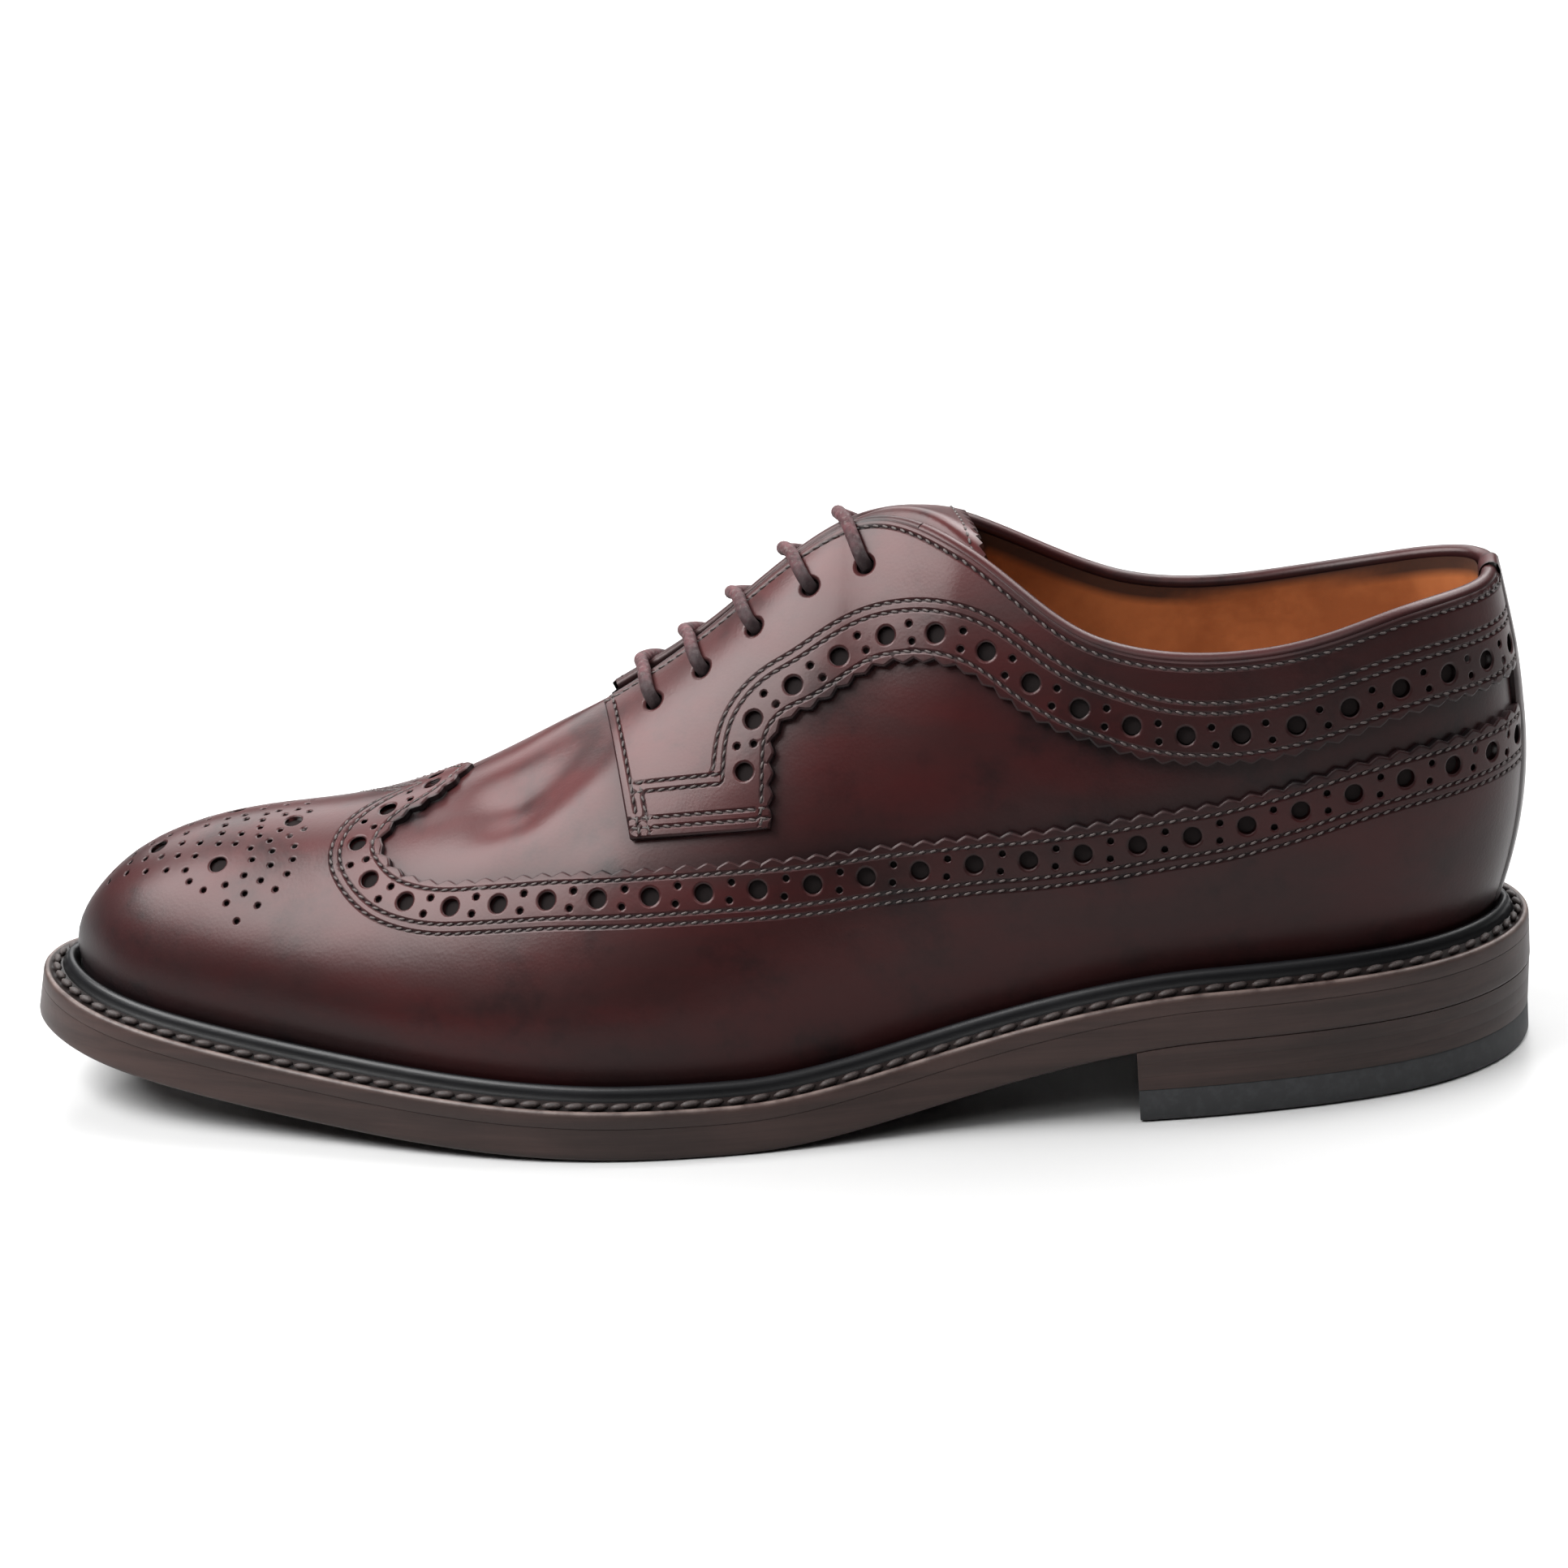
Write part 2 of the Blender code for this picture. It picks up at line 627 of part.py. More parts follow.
def build_facing(side, name, material):
    """Eyelet facing with its square tab, running back below the collar as the quarter band."""
    patch = Patch()
    start = STRIP_WAY + STRIP_CLEARANCE_WAY
    corner_way = float(way_at(TAB_BACK))
    band_ways = ways_between(start, corner_way)
    steps = np.arange(FACING_ROWS + 1) / FACING_ROWS
    band = []
    for way in band_ways:
        low = share_at_drop(side, way, float(QUARTER_DROP(along_at(way))))
        high = edge_share(side, way)
        band.append([patch.corner(side, way, low + (high - low) * step) for step in steps])
    patch.grid(band)

    foot_way = float(way_at(TAB_FOOT_FRONT))
    throat = float(way_at(THROAT))
    shoulder_back = wall_lengths(side, corner_way)[1][-1] - float(QUARTER_DROP(TAB_BACK))

    def tab_corner(forward, height):
        """Forward goes from the tab's back edge, 0, to its front edge, which leans; height from its foot to the slit."""
        front = foot_way + (throat - foot_way) * height
        way = corner_way + (front - corner_way) * forward
        shoulder = shoulder_back + (TAB_SHOULDER_FRONT - shoulder_back) * forward
        shares = share_at_rise(side, way, TAB_RISE), share_at_rise(side, way, shoulder), edge_share(side, way)
        return patch.corner(side, way, float(np.interp(height, (0, TAB_SHOULDER, 1), shares)))

    forwards = np.arange(TAB_STATIONS + 1) / TAB_STATIONS
    for low, high in ((0, TAB_SHOULDER), (TAB_SHOULDER, 1)):
        patch.grid([[tab_corner(forward, low + (high - low) * step) for step in steps] for forward in forwards])
    return patch.thicken(name, OVERLAY_GAP, OVERLAY_GAP + FACING_THICK, material)


def build_back_strip(material):
    patch = Patch()
    ways = np.linspace(0, STRIP_WAY, STRIP_STATIONS)
    for side in SIDES:
        rows = []
        for way in ways:
            low = share_at_rise(side, way, WING_FOOT)
            high = edge_share(side, way)
            rows.append([patch.corner(side, way, low + (high - low) * k / STRIP_ROWS)
                         for k in range(STRIP_ROWS + 1)])
        patch.grid(rows)
    return patch.thicken("back_strip", OVERLAY_GAP, OVERLAY_GAP + STRIP_THICK, material)


def build_tongue(material):
    """A leaf under the facings, on the inner face of the upper, that bridges the collar at its top."""
    patch = Patch()
    rows = []
    for way in ways_between(float(way_at(TONGUE_TOP)), float(way_at(TONGUE_ROOT))):
        drop = float(TONGUE_DROP(along_at(way)))
        lateral, medial = [
            [patch.corner(side, way, share_at_drop(side, way, drop * (1 - k / TONGUE_ROWS)))
             for k in range(TONGUE_ROWS + 1)]
            for side in SIDES
        ]
        rows.append(lateral + medial[::-1])
    patch.grid(rows)
    outer = -UPPER_WALL - TONGUE_GAP
    return patch.thicken("tongue", outer - TONGUE_THICK, outer, material)


def tube(name, path, radius, sides, material):
    """A round bar along a path, closed at both ends."""
    path = np.array(path)
    tangents = np.gradient(path, axis=0)
    tangents /= np.linalg.norm(tangents, axis=1, keepdims=True)
    forward = np.cross(tangents, np.array([0, 0, 1.0]))
    forward /= np.linalg.norm(forward, axis=1, keepdims=True)
    upward = np.cross(forward, tangents)
    turns = np.arange(sides) * 2 * math.pi / sides
    points = []
    for centre, a, b in zip(path, forward, upward):
        points += [centre + radius * (math.cos(t) * a + math.sin(t) * b) for t in turns]
    faces = []
    for k in range(len(path) - 1):
        for i in range(sides):
            j = (i + 1) % sides
            faces.append((k * sides + i, k * sides + j, (k + 1) * sides + j, (k + 1) * sides + i))
    last = (len(path) - 1) * sides
    faces += [tuple(range(sides)), tuple(range(last, last + sides))]
    return solid(name, points, faces, material)


def eyelet_ways():
    return [float(way_at(EYELET_FIRST - k * EYELET_PITCH)) for k in range(EYELETS)]


def build_lace_bars(material):
    """A bar from eyelet to eyelet, lying on both facings."""
    lift = OVERLAY_GAP + FACING_THICK + LACE_CLEARANCE + LACE_RADIUS
    drops = np.linspace(EYELET_DROP, EDGE_DROP, LACE_STATIONS)
    for number, way in enumerate(eyelet_ways(), 1):
        halves = []
        for side in SIDES:
            shares = [share_at_drop(side, way, drop) for drop in drops]
            halves.append([last_point(side, way, share) + lift * last_normal(side, way, share) for share in shares])
        middle = (halves[0][-1] + halves[1][-1]) / 2 + np.array([0, 0, LACE_ARCH])
        tube(f"lace_bar_{number}", halves[0] + [middle] + halves[1][::-1], LACE_RADIUS, LACE_SIDES, material)


def build_punch():
    """One cutter for all the eyelets, square to the leather at each."""
    made = bmesh.new()
    for way in eyelet_ways():
        for side in SIDES:
            share = share_at_drop(side, way, EYELET_DROP)
            centre = last_point(side, way, share)
            normal = last_normal(side, way, share)
            sideways = np.cross(normal, (1.0, 0, 0))
            sideways /= np.linalg.norm(sideways)
            lengthways = np.cross(sideways, normal)
            rings = []
            for reach in (-PUNCH_REACH, PUNCH_REACH):
                turns = np.arange(PUNCH_SIDES) * 2 * math.pi / PUNCH_SIDES
                rings.append([made.verts.new(centre + reach * normal + EYELET_RADIUS
                                             * (math.cos(t) * sideways + math.sin(t) * lengthways)) for t in turns])
            for i in range(PUNCH_SIDES):
                j = (i + 1) % PUNCH_SIDES
                made.faces.new((rings[0][i], rings[0][j], rings[1][j], rings[1][i]))
            made.faces.new(rings[0])
            made.faces.new(rings[1])
    bmesh.ops.recalc_face_normals(made, faces=made.faces)
    mesh = bpy.data.meshes.new("eyelet_punch")
    made.to_mesh(mesh)
    made.free()
    punch = bpy.data.objects.new("eyelet_punch", mesh)
    bpy.context.scene.collection.objects.link(punch)
    punch.hide_render = True
    punch.display_type = "WIRE"
    return punch


def main():
    for obj in list(bpy.data.objects):
        bpy.data.objects.remove(obj, do_unlink=True)
    burgundy = finish("burgundy_leather", (0.10, 0.018, 0.022), 0.3)
    edge_brown = finish("sole_edge_leather", (0.045, 0.022, 0.018), 0.5)
    welt_black = finish("welt_leather", (0.02, 0.012, 0.011), 0.5)
    rubber = finish("heel_rubber", (0.015, 0.015, 0.017), 0.7)
    tan = finish("insole_leather", (0.42, 0.19, 0.07), 0.6)
    lace = finish("lace_cotton", (0.06, 0.012, 0.016), 0.7)

    build_outsole(edge_brown)
    build_welt(welt_black)
    build_heel(edge_brown, rubber)
    upper = build_upper(burgundy)
    build_wing(burgundy)
    facings = [build_facing(side, name, burgundy) for side, name in zip(SIDES, ("facing_lateral", "facing_medial"))]
    build_back_strip(burgundy)
    build_tongue(burgundy)
    build_insole(tan)
    build_lace_bars(lace)
    punch = build_punch()
    for obj in (upper, *facings):
        cut = obj.modifiers.new("eyelets", "BOOLEAN")
        cut.operation = "DIFFERENCE"
        cut.solver = "EXACT"
        cut.object = punch


main()
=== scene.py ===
"""Looks of a long-wing brogue derby, the left shoe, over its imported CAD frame.

The leather is laid on the same last that the CAD pieces follow: a point of it has a side, a way from the
heel's back to the toe's tip, a share of the wall's height, and a height above the last.
"""

import math

import bmesh
import bpy
import numpy as np
from bpy.props import FloatProperty, FloatVectorProperty, PointerProperty
from bpy.types import Operator, Panel, PropertyGroup
from mathutils import Matrix, Vector
from mathutils.geometry import delaunay_2d_cdt
from mathutils.kdtree import KDTree


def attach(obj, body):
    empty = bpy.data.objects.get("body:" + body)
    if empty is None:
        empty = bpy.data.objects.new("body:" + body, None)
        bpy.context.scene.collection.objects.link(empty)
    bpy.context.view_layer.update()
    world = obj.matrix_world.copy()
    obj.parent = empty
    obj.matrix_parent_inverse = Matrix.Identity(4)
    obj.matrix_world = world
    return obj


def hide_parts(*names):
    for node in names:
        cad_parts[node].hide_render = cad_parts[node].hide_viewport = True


bl_info = {
    "name": "Brogue derby looks",
    "version": (1, 0, 0),
    "blender": (4, 5, 0),
    "location": "3D View > Sidebar > Shoe",
    "description": "Leather, broguing, stitches, welt, sole and lacing of a long-wing derby",
    "category": "Object",
}

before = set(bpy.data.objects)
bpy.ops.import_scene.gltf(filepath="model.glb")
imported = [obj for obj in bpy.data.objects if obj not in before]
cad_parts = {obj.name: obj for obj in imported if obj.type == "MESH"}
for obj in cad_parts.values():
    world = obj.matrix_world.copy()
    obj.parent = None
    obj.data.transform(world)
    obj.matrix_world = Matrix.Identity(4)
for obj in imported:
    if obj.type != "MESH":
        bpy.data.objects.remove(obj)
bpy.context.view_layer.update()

MM = 0.001
LATERAL, MEDIAL = 0, 1
SIDES = (LATERAL, MEDIAL)

# The bottom, as in the CAD part
LENGTH = 312 * MM
SOLE_THICK = 6.4 * MM
WELT_THICK = 3.4 * MM
GAP = 0.3 * MM
WELT_TOP = SOLE_THICK + GAP + WELT_THICK
SEAT_HEIGHT = 15.8 * MM
TOE_SPRING = 16 * MM
ARCH_BACK = 62 * MM
ARCH_FRONT = 157 * MM
TOE_START = 172 * MM
HEEL_BREAST = 78 * MM
TOP_PIECE_THICK = 6.5 * MM
HEEL_TAPER = 1.0 * MM
RIM_SIDE = 12 * MM
RIM_HEEL = 8.5 * MM
RIM_TOE = 9 * MM
FEATHER_GAP = 0.5 * MM
TURN_BACK = 60 * MM
TURN_FRONT = 160 * MM

# The pattern of the upper
EDGE_DROP = 6 * MM
THROAT = 184 * MM
WING_FRONT = 232 * MM
WING_PEAK = 214 * MM
TAB_BACK = 147.5 * MM
TAB_FOOT_FRONT = 176.3 * MM
TAB_RISE = 51 * MM
STRIP_WAY = 0.0275
PANEL_START = 0.0256
PANEL_FOOT = 0.8 * MM
PANEL_FOOT_LIMIT = 0.3
COLLAR_FRONT = 120 * MM
TONGUE_ROOT = 200 * MM
TONGUE_TOP = 114.5 * MM
TONGUE_SLANT = 0.3
TONGUE_SKEW = 8 * MM
TONGUE_SINK = 2.9 * MM
TONGUE_LIFT = 2 * MM
TONGUE_THICK = 1.5 * MM
TONGUE_FLAT = 6 * MM
TONGUE_TUCK = 2.4 * MM
TONGUE_TUCK_REACH = 8 * MM
TONGUE_ROWS = 70
TONGUE_LOOSE_ROWS = 22
TONGUE_PASSES = 160
TONGUE_TEETH = 19
TONGUE_TOOTH = 1.2 * MM
TONGUE_STAIN = 0.15
TONGUE_END_STAIN = 0.5
TONGUE_STITCH_ROW = 2
TONGUE_STITCH_EVERY = 4
EYELETS = 5
EYELET_FIRST = 172 * MM
EYELET_PITCH = 10.2 * MM
EYELET_DROP = 16 * MM
EYELET_RADIUS = 1.9 * MM
EYELET_DEPTH = 1.7 * MM
EYELET_RIM = 0.8 * MM

# Broguing and pinked edges. Ends are the bare lengths before the first hole and after the last
HOLE_DEPTH = 1.35 * MM
HOLE_RIM = 0.55 * MM
HOLE_SIDES = 20
SMALL_HOLE_DEPTH = 1.1 * MM
SMALL_HOLE_RIM = 0.4 * MM
SMALL_HOLE_SIDES = 9
PAIR_OFFSET = 1.75 * MM
PAIR_LAG = 0.35 * MM
WING_HOLE_ENDS = (3.2 * MM, 3.6 * MM)
FACING_HOLE_ENDS = (3 * MM, 11 * MM)
TOOTH_POINTS = 6
TOOTH_POWER = 1.2
TOOTH_FADE = 4 * MM

# Stitch rows of the upper, by their distance from the edge that they follow
WING_EDGE_ROW = 1.9 * MM
WING_HOLE_ROWS = (9.2 * MM, 11.2 * MM)
FACING_EDGE_ROW = 1.8 * MM
FACING_HOLE_ROWS = (9.9 * MM, 11.9 * MM)
FACING_HOLE_ROWS_TURN = 20 * MM
OPENING_ROW = 1.6 * MM
TAB_FRONT_ROW = 2.2 * MM
TAB_FRONT_SHORT_ROW = 4.2 * MM
TAB_FRONT_SHORT_POINTS = 18
TAB_FOOT_ROWS = (2.0 * MM, 4.0 * MM)
TAB_CROSS_ROWS = (9.6 * MM, 11.6 * MM)
TAB_CROSS_MARGINS = (10 * MM, 1 * MM)
STITCH_SINK = 0.12 * MM
STITCH_SLANT = 0.24

# Heights above the last, and sizes of the strip, the lining, the sock and the collar's rolls
WING_TOP = 1.5 * MM
FACING_TOP = 1.9 * MM
STRIP_OVER = 0.35 * MM
STRIP_MARGIN = 0.02
STRIP_ROUND = 0.8
STRIP_FOLD_OVER = 0.55 * MM
STRIP_INSIDE = 7 * MM
SHELL_INSIDE = -1.1 * MM
LINING_INSIDE = -2.2 * MM
LINING_BLACK = 108 * MM
LINING_BLACK_FADE = 2 * MM
LINING_WALL = 90 * MM
LINING_BINDING = 5 * MM
LINING_BINDING_FADE = 1 * MM
SOCK_INSET = 2.8 * MM
SOCK_SIDE = 2.3 * MM
SOCK_THICK = 2.8 * MM
SOCK_ROUND = 1.0 * MM
BINDING_HEIGHT = -0.1 * MM
BEAD_DROP = EDGE_DROP - 0.3 * MM
BEAD_HEIGHT = 0.3 * MM
BEAD_RADIUS = 1.25 * MM
BEAD_START = THROAT - 1 * MM
TUBE_STEP = 1.6 * MM

# The sole's outline and the last's sections, in mm and degrees, as in the CAD part. A section has its crest,
# and for each side the wall's lean and pull at its foot, and its slope and pull at its crest
OUTLINE_COLUMNS = ("along", "lateral", "medial")
OUTLINE = (
    (0, 4, 4), (6, -15.5, 23), (22, -30.5, 35), (50, -40.5, 39.5), (80, -45, 36.5), (115, -47.5, 31.5),
    (150, -55, 38), (185, -58, 50), (216, -52.5, 57.5), (246, -43, 55), (271, -35, 46), (292, -26, 35),
    (306, -13, 22), (312, 4.5, 4.5),
)
LAST_COLUMNS = (
    "along", "crest_along", "crest_y", "crest_z", "crest_half", "tilt",
    "lean_0", "low_0", "slope_0", "high_0", "lean_1", "low_1", "slope_1", "high_1",
)
LAST = (
    (0, 7, 4, 103, 0, 0, 68, 33, 80, 25, 68, 33, 80, 25),
    (8, 10, 3.5, 102.6, 13.4, 0, 70, 31, 80, 25, 70, 31, 80, 25),
    (24, 24, 0, 101.2, 23.8, 0.7, 72, 28, 82, 25, 72, 28, 82, 25),
    (50, 50, -1, 96.5, 29.5, 0.2, 74, 26, 80, 22, 76, 26, 80, 22),
    (80, 83, -0.7, 99.2, 25.7, 0.2, 78, 28, 70, 28, 86, 28, 72, 28),
    (110, 108, 0.8, 113.5, 15.2, 1.5, 80, 30, 52, 32, 94, 30, 56, 32),
    (135, 132, 2, 115.5, 1, 0.5, 80, 30, 32, 34, 96, 30, 36, 34),
    (160, 160, 2, 95.3, 0, 0, 76, 28, 16, 28, 90, 28, 20, 28),
    (185, 185, 2.5, 78.3, 0, 0, 70, 24, 3, 26, 76, 24, 3, 28),
    (210, 210, 3, 65.4, 0, 0, 66, 20, 0, 24, 68, 20, 0, 27),
    (235, 235, 4, 57, 0, 0, 64, 18, 0, 22, 66, 18, 0, 25),
    (260, 259, 5, 54.3, 0, 0, 64, 17, 0, 20, 66, 17, 0, 21),
    (282, 277, 5, 51, 0, 0, 66, 15, 0, 16, 68, 15, 0, 16),
    (298.5, 290.5, 5, 44.3, 0, 0, 70, 11, 0, 11, 72, 11, 0, 11),
    (307.5, 298.5, 5, 36, 0, 0, 80, 6, 0, 6, 80, 6, 0, 6),
    (312, 301.5, 4.5, 27, 0, 0, 90, 0, 0, 0, 90, 0, 0, 0),
)
ANGLES = ("lean_0", "slope_0", "lean_1", "slope_1")
STEADY = ("crest_half", "tilt", "slope_0", "slope_1")
# Edges of the overlays and the tongue in mm: rises from the feather line, drops from the ridge
RISE_COLUMNS = ("along", "rise")
DROP_COLUMNS = ("along", "drop")
WING_EDGE = (
    (0, 45), (22, 44), (36, 42), (50, 38.5), (64, 35.8), (78, 35.3), (92, 36.4), (110, 40), (130, 43.3),
    (155, 44.9), (190, 44.4), (207, 42.7), (219, 41.3), (226, 42.3), (230, 45.5), (232, 49),
)
WING_POINT = ((214, 0), (218, 6.2), (222, 9.2), (226, 10.8), (229, 13.3), (231, 15.7), (232, 19))
QUARTER_EDGE = (
    (0, 25.3), (22, 25.3), (50, 26), (66, 26), (80, 25.6), (90, 27.3), (100, 28.7), (108, 29), (116, 31),
    (122, 33.8), (129, 37), (135, 40.5), (140, 41.8), (145, 40.8), (147.5, 42.5),
)
TONGUE = ((110, 17), (118, 18), (125, 18.5), (133, 19), (150, 20), (200, 20))

# The toe's pricked ornament: holes by their place along the shoe and their distance from its axis, which lies
# this far down the lateral side of the ridge
MEDALLION_AXIS = ((250, 6.8), (272, 6.2), (287, 4.8), (300, 2.6), (312, 2.6))
MEDALLION_LARGE = ((287.5, 0), (269, 10.6), (252.5, 0))
MEDALLION_SMALL = (
    (300.5, 2.6), (295, 4.9), (289, 7.1), (283, 8.8), (277.5, 10.2), (276, 13.3), (272, 16.2), (266, 20.3),
    (263.5, 24.6), (258.5, 22), (254.5, 18.9), (252, 15.5), (251, 12), (251, 8.4), (252.5, 5.2), (249.5, 3.4),
    (266.5, 16.1), (261.7, 18.9), (262, 14.6), (258, 16.4), (256, 12.9), (260.5, 10.9), (256, 9.2),
    (261.3, 7.7), (257, 6.1), (259.7, 4.2), (255, 3), (295, 1.5), (290.3, 3), (285.4, 4.4), (280.5, 5.6),
    (275.5, 7), (280.3, 1.9), (275, 3.3), (269.7, 4.8), (265.3, 5.7), (269.5, 1.5), (264.3, 2.8), (260, 1.4),
)
MEDALLION_DEPTH = 1.0 * MM
MEDALLION_RIM = 0.45 * MM
MEDALLION_CLEARANCE = 0.7 * MM

# Soft creases over the vamp, in mm: points by place along the shoe and drop from the ridge, width and depth
CREASES = (
    (LATERAL, ((181, 8), (187, 14), (192, 17.5), (196, 20), (201, 21), (206, 19.5)), 7.5, 1.5),
    (LATERAL, ((204, 20), (209, 17), (214, 13.5), (220, 9.5)), 7.0, 0.6),
    (LATERAL, ((199, 3), (206, 6), (213, 3)), 9.0, -0.35),
    (LATERAL, ((188, 28), (196, 32), (205, 31)), 8.0, -0.4),
    (LATERAL, ((203.5, 20), (202.3, 24), (201, 28)), 1.3, 0.2),
    (LATERAL, ((186, 37), (194, 38.5), (203, 37)), 7.0, 0.35),
    (MEDIAL, ((181, 8), (187, 14), (192, 17.5), (198, 21)), 7.5, 1.3),
    (MEDIAL, ((199, 3), (206, 6), (213, 3)), 9.0, -0.35),
)

# Rounding of the cut edges, and how dark they are: painted shade along the rounding, and the cut edges' dye
# darkened further as painted shade
EDGE_ROUND = 0.45 * MM
EDGE_FALL = 0.35 * MM
LIP_SHADE = 0.42
EDGE_DYE_AND_SHADE = 0.8

# Darker beside the seams, low on the wall above the welt, at the heel's back and over the toe; towards the
# toe the darkening above the welt reaches higher, as painted shade
SEAM_DARKENING = 0.62
SEAM_REACH = 4 * MM
WELT_DARKENING = 0.6
WELT_DARKENING_REACH = 5 * MM
WELT_SHADE_TOE_REACH = 14 * MM
HEEL_DARKENING = 0.3
HEEL_DARKENING_REACH = 45 * MM
TOE_DARKENING = 0.75
TOE_DARKENING_REACH = 40 * MM

# Welt, sole and heel, each as rows of a section in mm
WELT_PROFILE = (
    # inset from the rim, height above the sole's underside, darkness at the joint and as painted shade under
    # the rib, painted highlight on the rim's top edge
    (0.03, 6.7, 0.25, 0), (0.0, 7.0, 0.0, 0), (0.0, 9.1, 0.0, 0), (0.1, 9.6, 0.0, 0.25),
    (0.45, 10.05, 0.0, 1), (0.85, 10.1, 0.0, 0.6), (1.15, 10.0, 0.2, 0), (1.5, 9.7, 0.75, 0),
    (2.2, 9.55, 0.95, 0),
)
RIB_PROFILE = (
    # reach outwards of the feather line, height, darkness, which is painted shade at the rib's foot and on
    # its side towards the upper
    (5.6, 9.9, 0.9), (5.2, 10.3, 0.7), (5.0, 11.3, 0.3), (4.75, 12.0, 0.1), (4.3, 12.55, 0.0),
    (3.7, 12.65, 0.2), (3.1, 12.2, 0.6), (2.4, 11.2, 1.0), (1.8, 10.4, 1.0), (-5.5, 10.1, 1.0),
)
RIB_SUNK = 0.2
WELT_TONGUE = 5.5 * MM
WELT_STITCH_LONG = 4.3 * MM
WELT_STITCH_THICK = 1.6 * MM
WELT_STITCH_HEIGHT = 10.3 * MM
WELT_STITCH_INSET = 2.9 * MM
WELT_STITCH_LIP = 1.0 * MM
WELT_STITCH_SLANT = 0.22
SOLE_PROFILE = (
    # inset, height, stain
    (0.4, 0.0, 0.4), (0.12, 0.2, 0.25), (0.0, 0.7, 0.1), (0.0, 2.0, 0.05), (0.0, 4.3, 0.0), (0.0, 6.3, 0.0),
    (0.02, 6.6, 0.1), (0.3, 6.68, 0.5),
)
HEEL_FLUSH = 0.12 * MM
HEEL_JOINT = 0.05 * MM
HEEL_LIFTS = 3
HEEL_STATIONS = 80
LIFT_PROFILE = (
    # share of the lift's height from its top, inset, stain
    (0.005, 0.02, 0.2), (0.05, 0.0, 0.0), (0.95, 0.0, 0.0), (0.995, 0.02, 0.2),
)
TOP_PIECE_PROFILE = (
    # inset, height and stain, with its sizes in metres
    (0.15 * MM, TOP_PIECE_THICK, 0.5), (0.0, TOP_PIECE_THICK - 0.3 * MM, 0), (0.0, 0.7 * MM, 0),
    (0.25 * MM, 0.15 * MM, 0.2), (0.7 * MM, 0.0, 0.4),
)

# One bar of the lace, from inside an eyelet up to the slit's edge: drop from the ridge and height, in mm
LACE_PATH = ((16.2, -1.5), (16, 0.6), (15.4, 2.1), (14.2, 2.9), (12, 3.1), (9, 3.0), (6.5, 2.8))
LACE_SLANT = 0.47
LACE_SKEW = 2.6 * MM
LACE_UNDER = -3.75 * MM
LACE_TAIL = 6 * MM
LACE_DARK_DROP = 8 * MM
LACE_DARK_REACH = 7 * MM
LACE_STEP = 0.4 * MM
LACE_SIDES = 14
BRAID_PITCH = 0.35 * MM
BRAID_STRANDS = 3
# Rows of eyelets from the toe, in the order in which the lace crosses them, and the side where each bar
# starts. Between two bars it runs inside the shoe, and bows sideways where another run shares its way
LACE_BARS = ((3, LATERAL), (1, MEDIAL), (0, LATERAL), (2, MEDIAL), (4, LATERAL))
LACE_BOWS = (-3.2, 0, 3.4, 3.4)
LACE_RUN_SHARES = (0.14, 0.32, 0.5, 0.68, 0.86)

# Floor and light. A softbox has its turn from straight in front of the shoe's outer side, negative towards
# the toe, its rise, its width and depth in metres, and its watts
FLOOR_COLOUR = (0.45, 0.45, 0.45)
FLOOR_REACH = 6.0
FLOOR_GAP = 0.3 * MM
WORLD_STRENGTH = 0.03
LIGHT_AIM = Vector((0, 0, 0.05))
LIGHT_DISTANCE = 1.5
SOFTBOXES = (
    ("key", -74, 50, 1.35, 0.85, 58), ("back_light", -168, 36, 1.7, 0.8, 18),
    ("front_fill", 0, 50, 1.2, 0.8, 7), ("rear_light", 140, 52, 1.2, 1.0, 30),
    ("heel_light", 95, 52, 1.1, 1.0, 9),
)
BACKDROP_PLACE = (0.3, 2.6, 1.8)
BACKDROP_AIM = (0.3, 2.6, 0)
BACKDROP_SIZE = (3.4, 3.0)
BACKDROP_POWER = 150
BACKDROP_SPREAD = math.radians(85)

# The photograph's view of the shoe, and the pixel of its frame that the view's point falls on
VIEW_TURN = math.radians(-8.0)
VIEW_RISE = math.radians(17.5)
VIEW_ROLL = math.radians(-4.47)
VIEW_DISTANCE = 994 * MM
VIEW_POINT = Vector((1 * MM, 4 * MM, 50 * MM))
VIEW_POINT_PIXEL = (941, 1010)
FRAME_PIXELS = 1932
FOCUS_PIXELS = 5950
SENSOR = 36

# How finely the meshes are divided
SPACING = 2.4 * MM
SPACING_KEPT = 0.55
TRACE_STEP = 0.6 * MM
MOVE_STEPS = 5
RISE_SAMPLES = 60
STEP = 1e-4
SLOPE_STEP = 0.01 * MM
NEAR_RIDGE = 1 - 1e-3
SEAM_WITHIN = 1e-6
CHART_WITHIN = 1e-9
LEVEL_WITHIN = 0.01 * MM
GROOVE_STEP = 1.25 * MM
GROOVE_HALF = 0.6 * MM
GROOVE_DEPTH = 0.3 * MM
EDGE_STEP = 0.9 * MM
OPENING_STEP = 1.2 * MM
SHELL_BACK_STATIONS = 120
SHELL_FRONT_STATIONS = 90
SHELL_ROWS = 46
SHELL_RIDGE_ROWS = 6
SHELL_RIM_ROWS = 3
STRIP_LINES = 7
STRIP_POINTS = 40
STRIP_FOLD_POINTS = 9
STRIP_SMOOTHING = 7
LINING_BACK_STATIONS = 90
LINING_FRONT_STATIONS = 60
LINING_ROWS = 30
SOCK_STATIONS = 90
RIM_STATIONS = 240
WELD = 0.02 * MM
TONGUE_WELD = 0.01 * MM
LINING_WELD = 0.05 * MM
SLIVER = 1e-7
SHARP_EDGE = math.radians(48)
CHART_SPAN = 0.32
CHART_RISE = 0.08


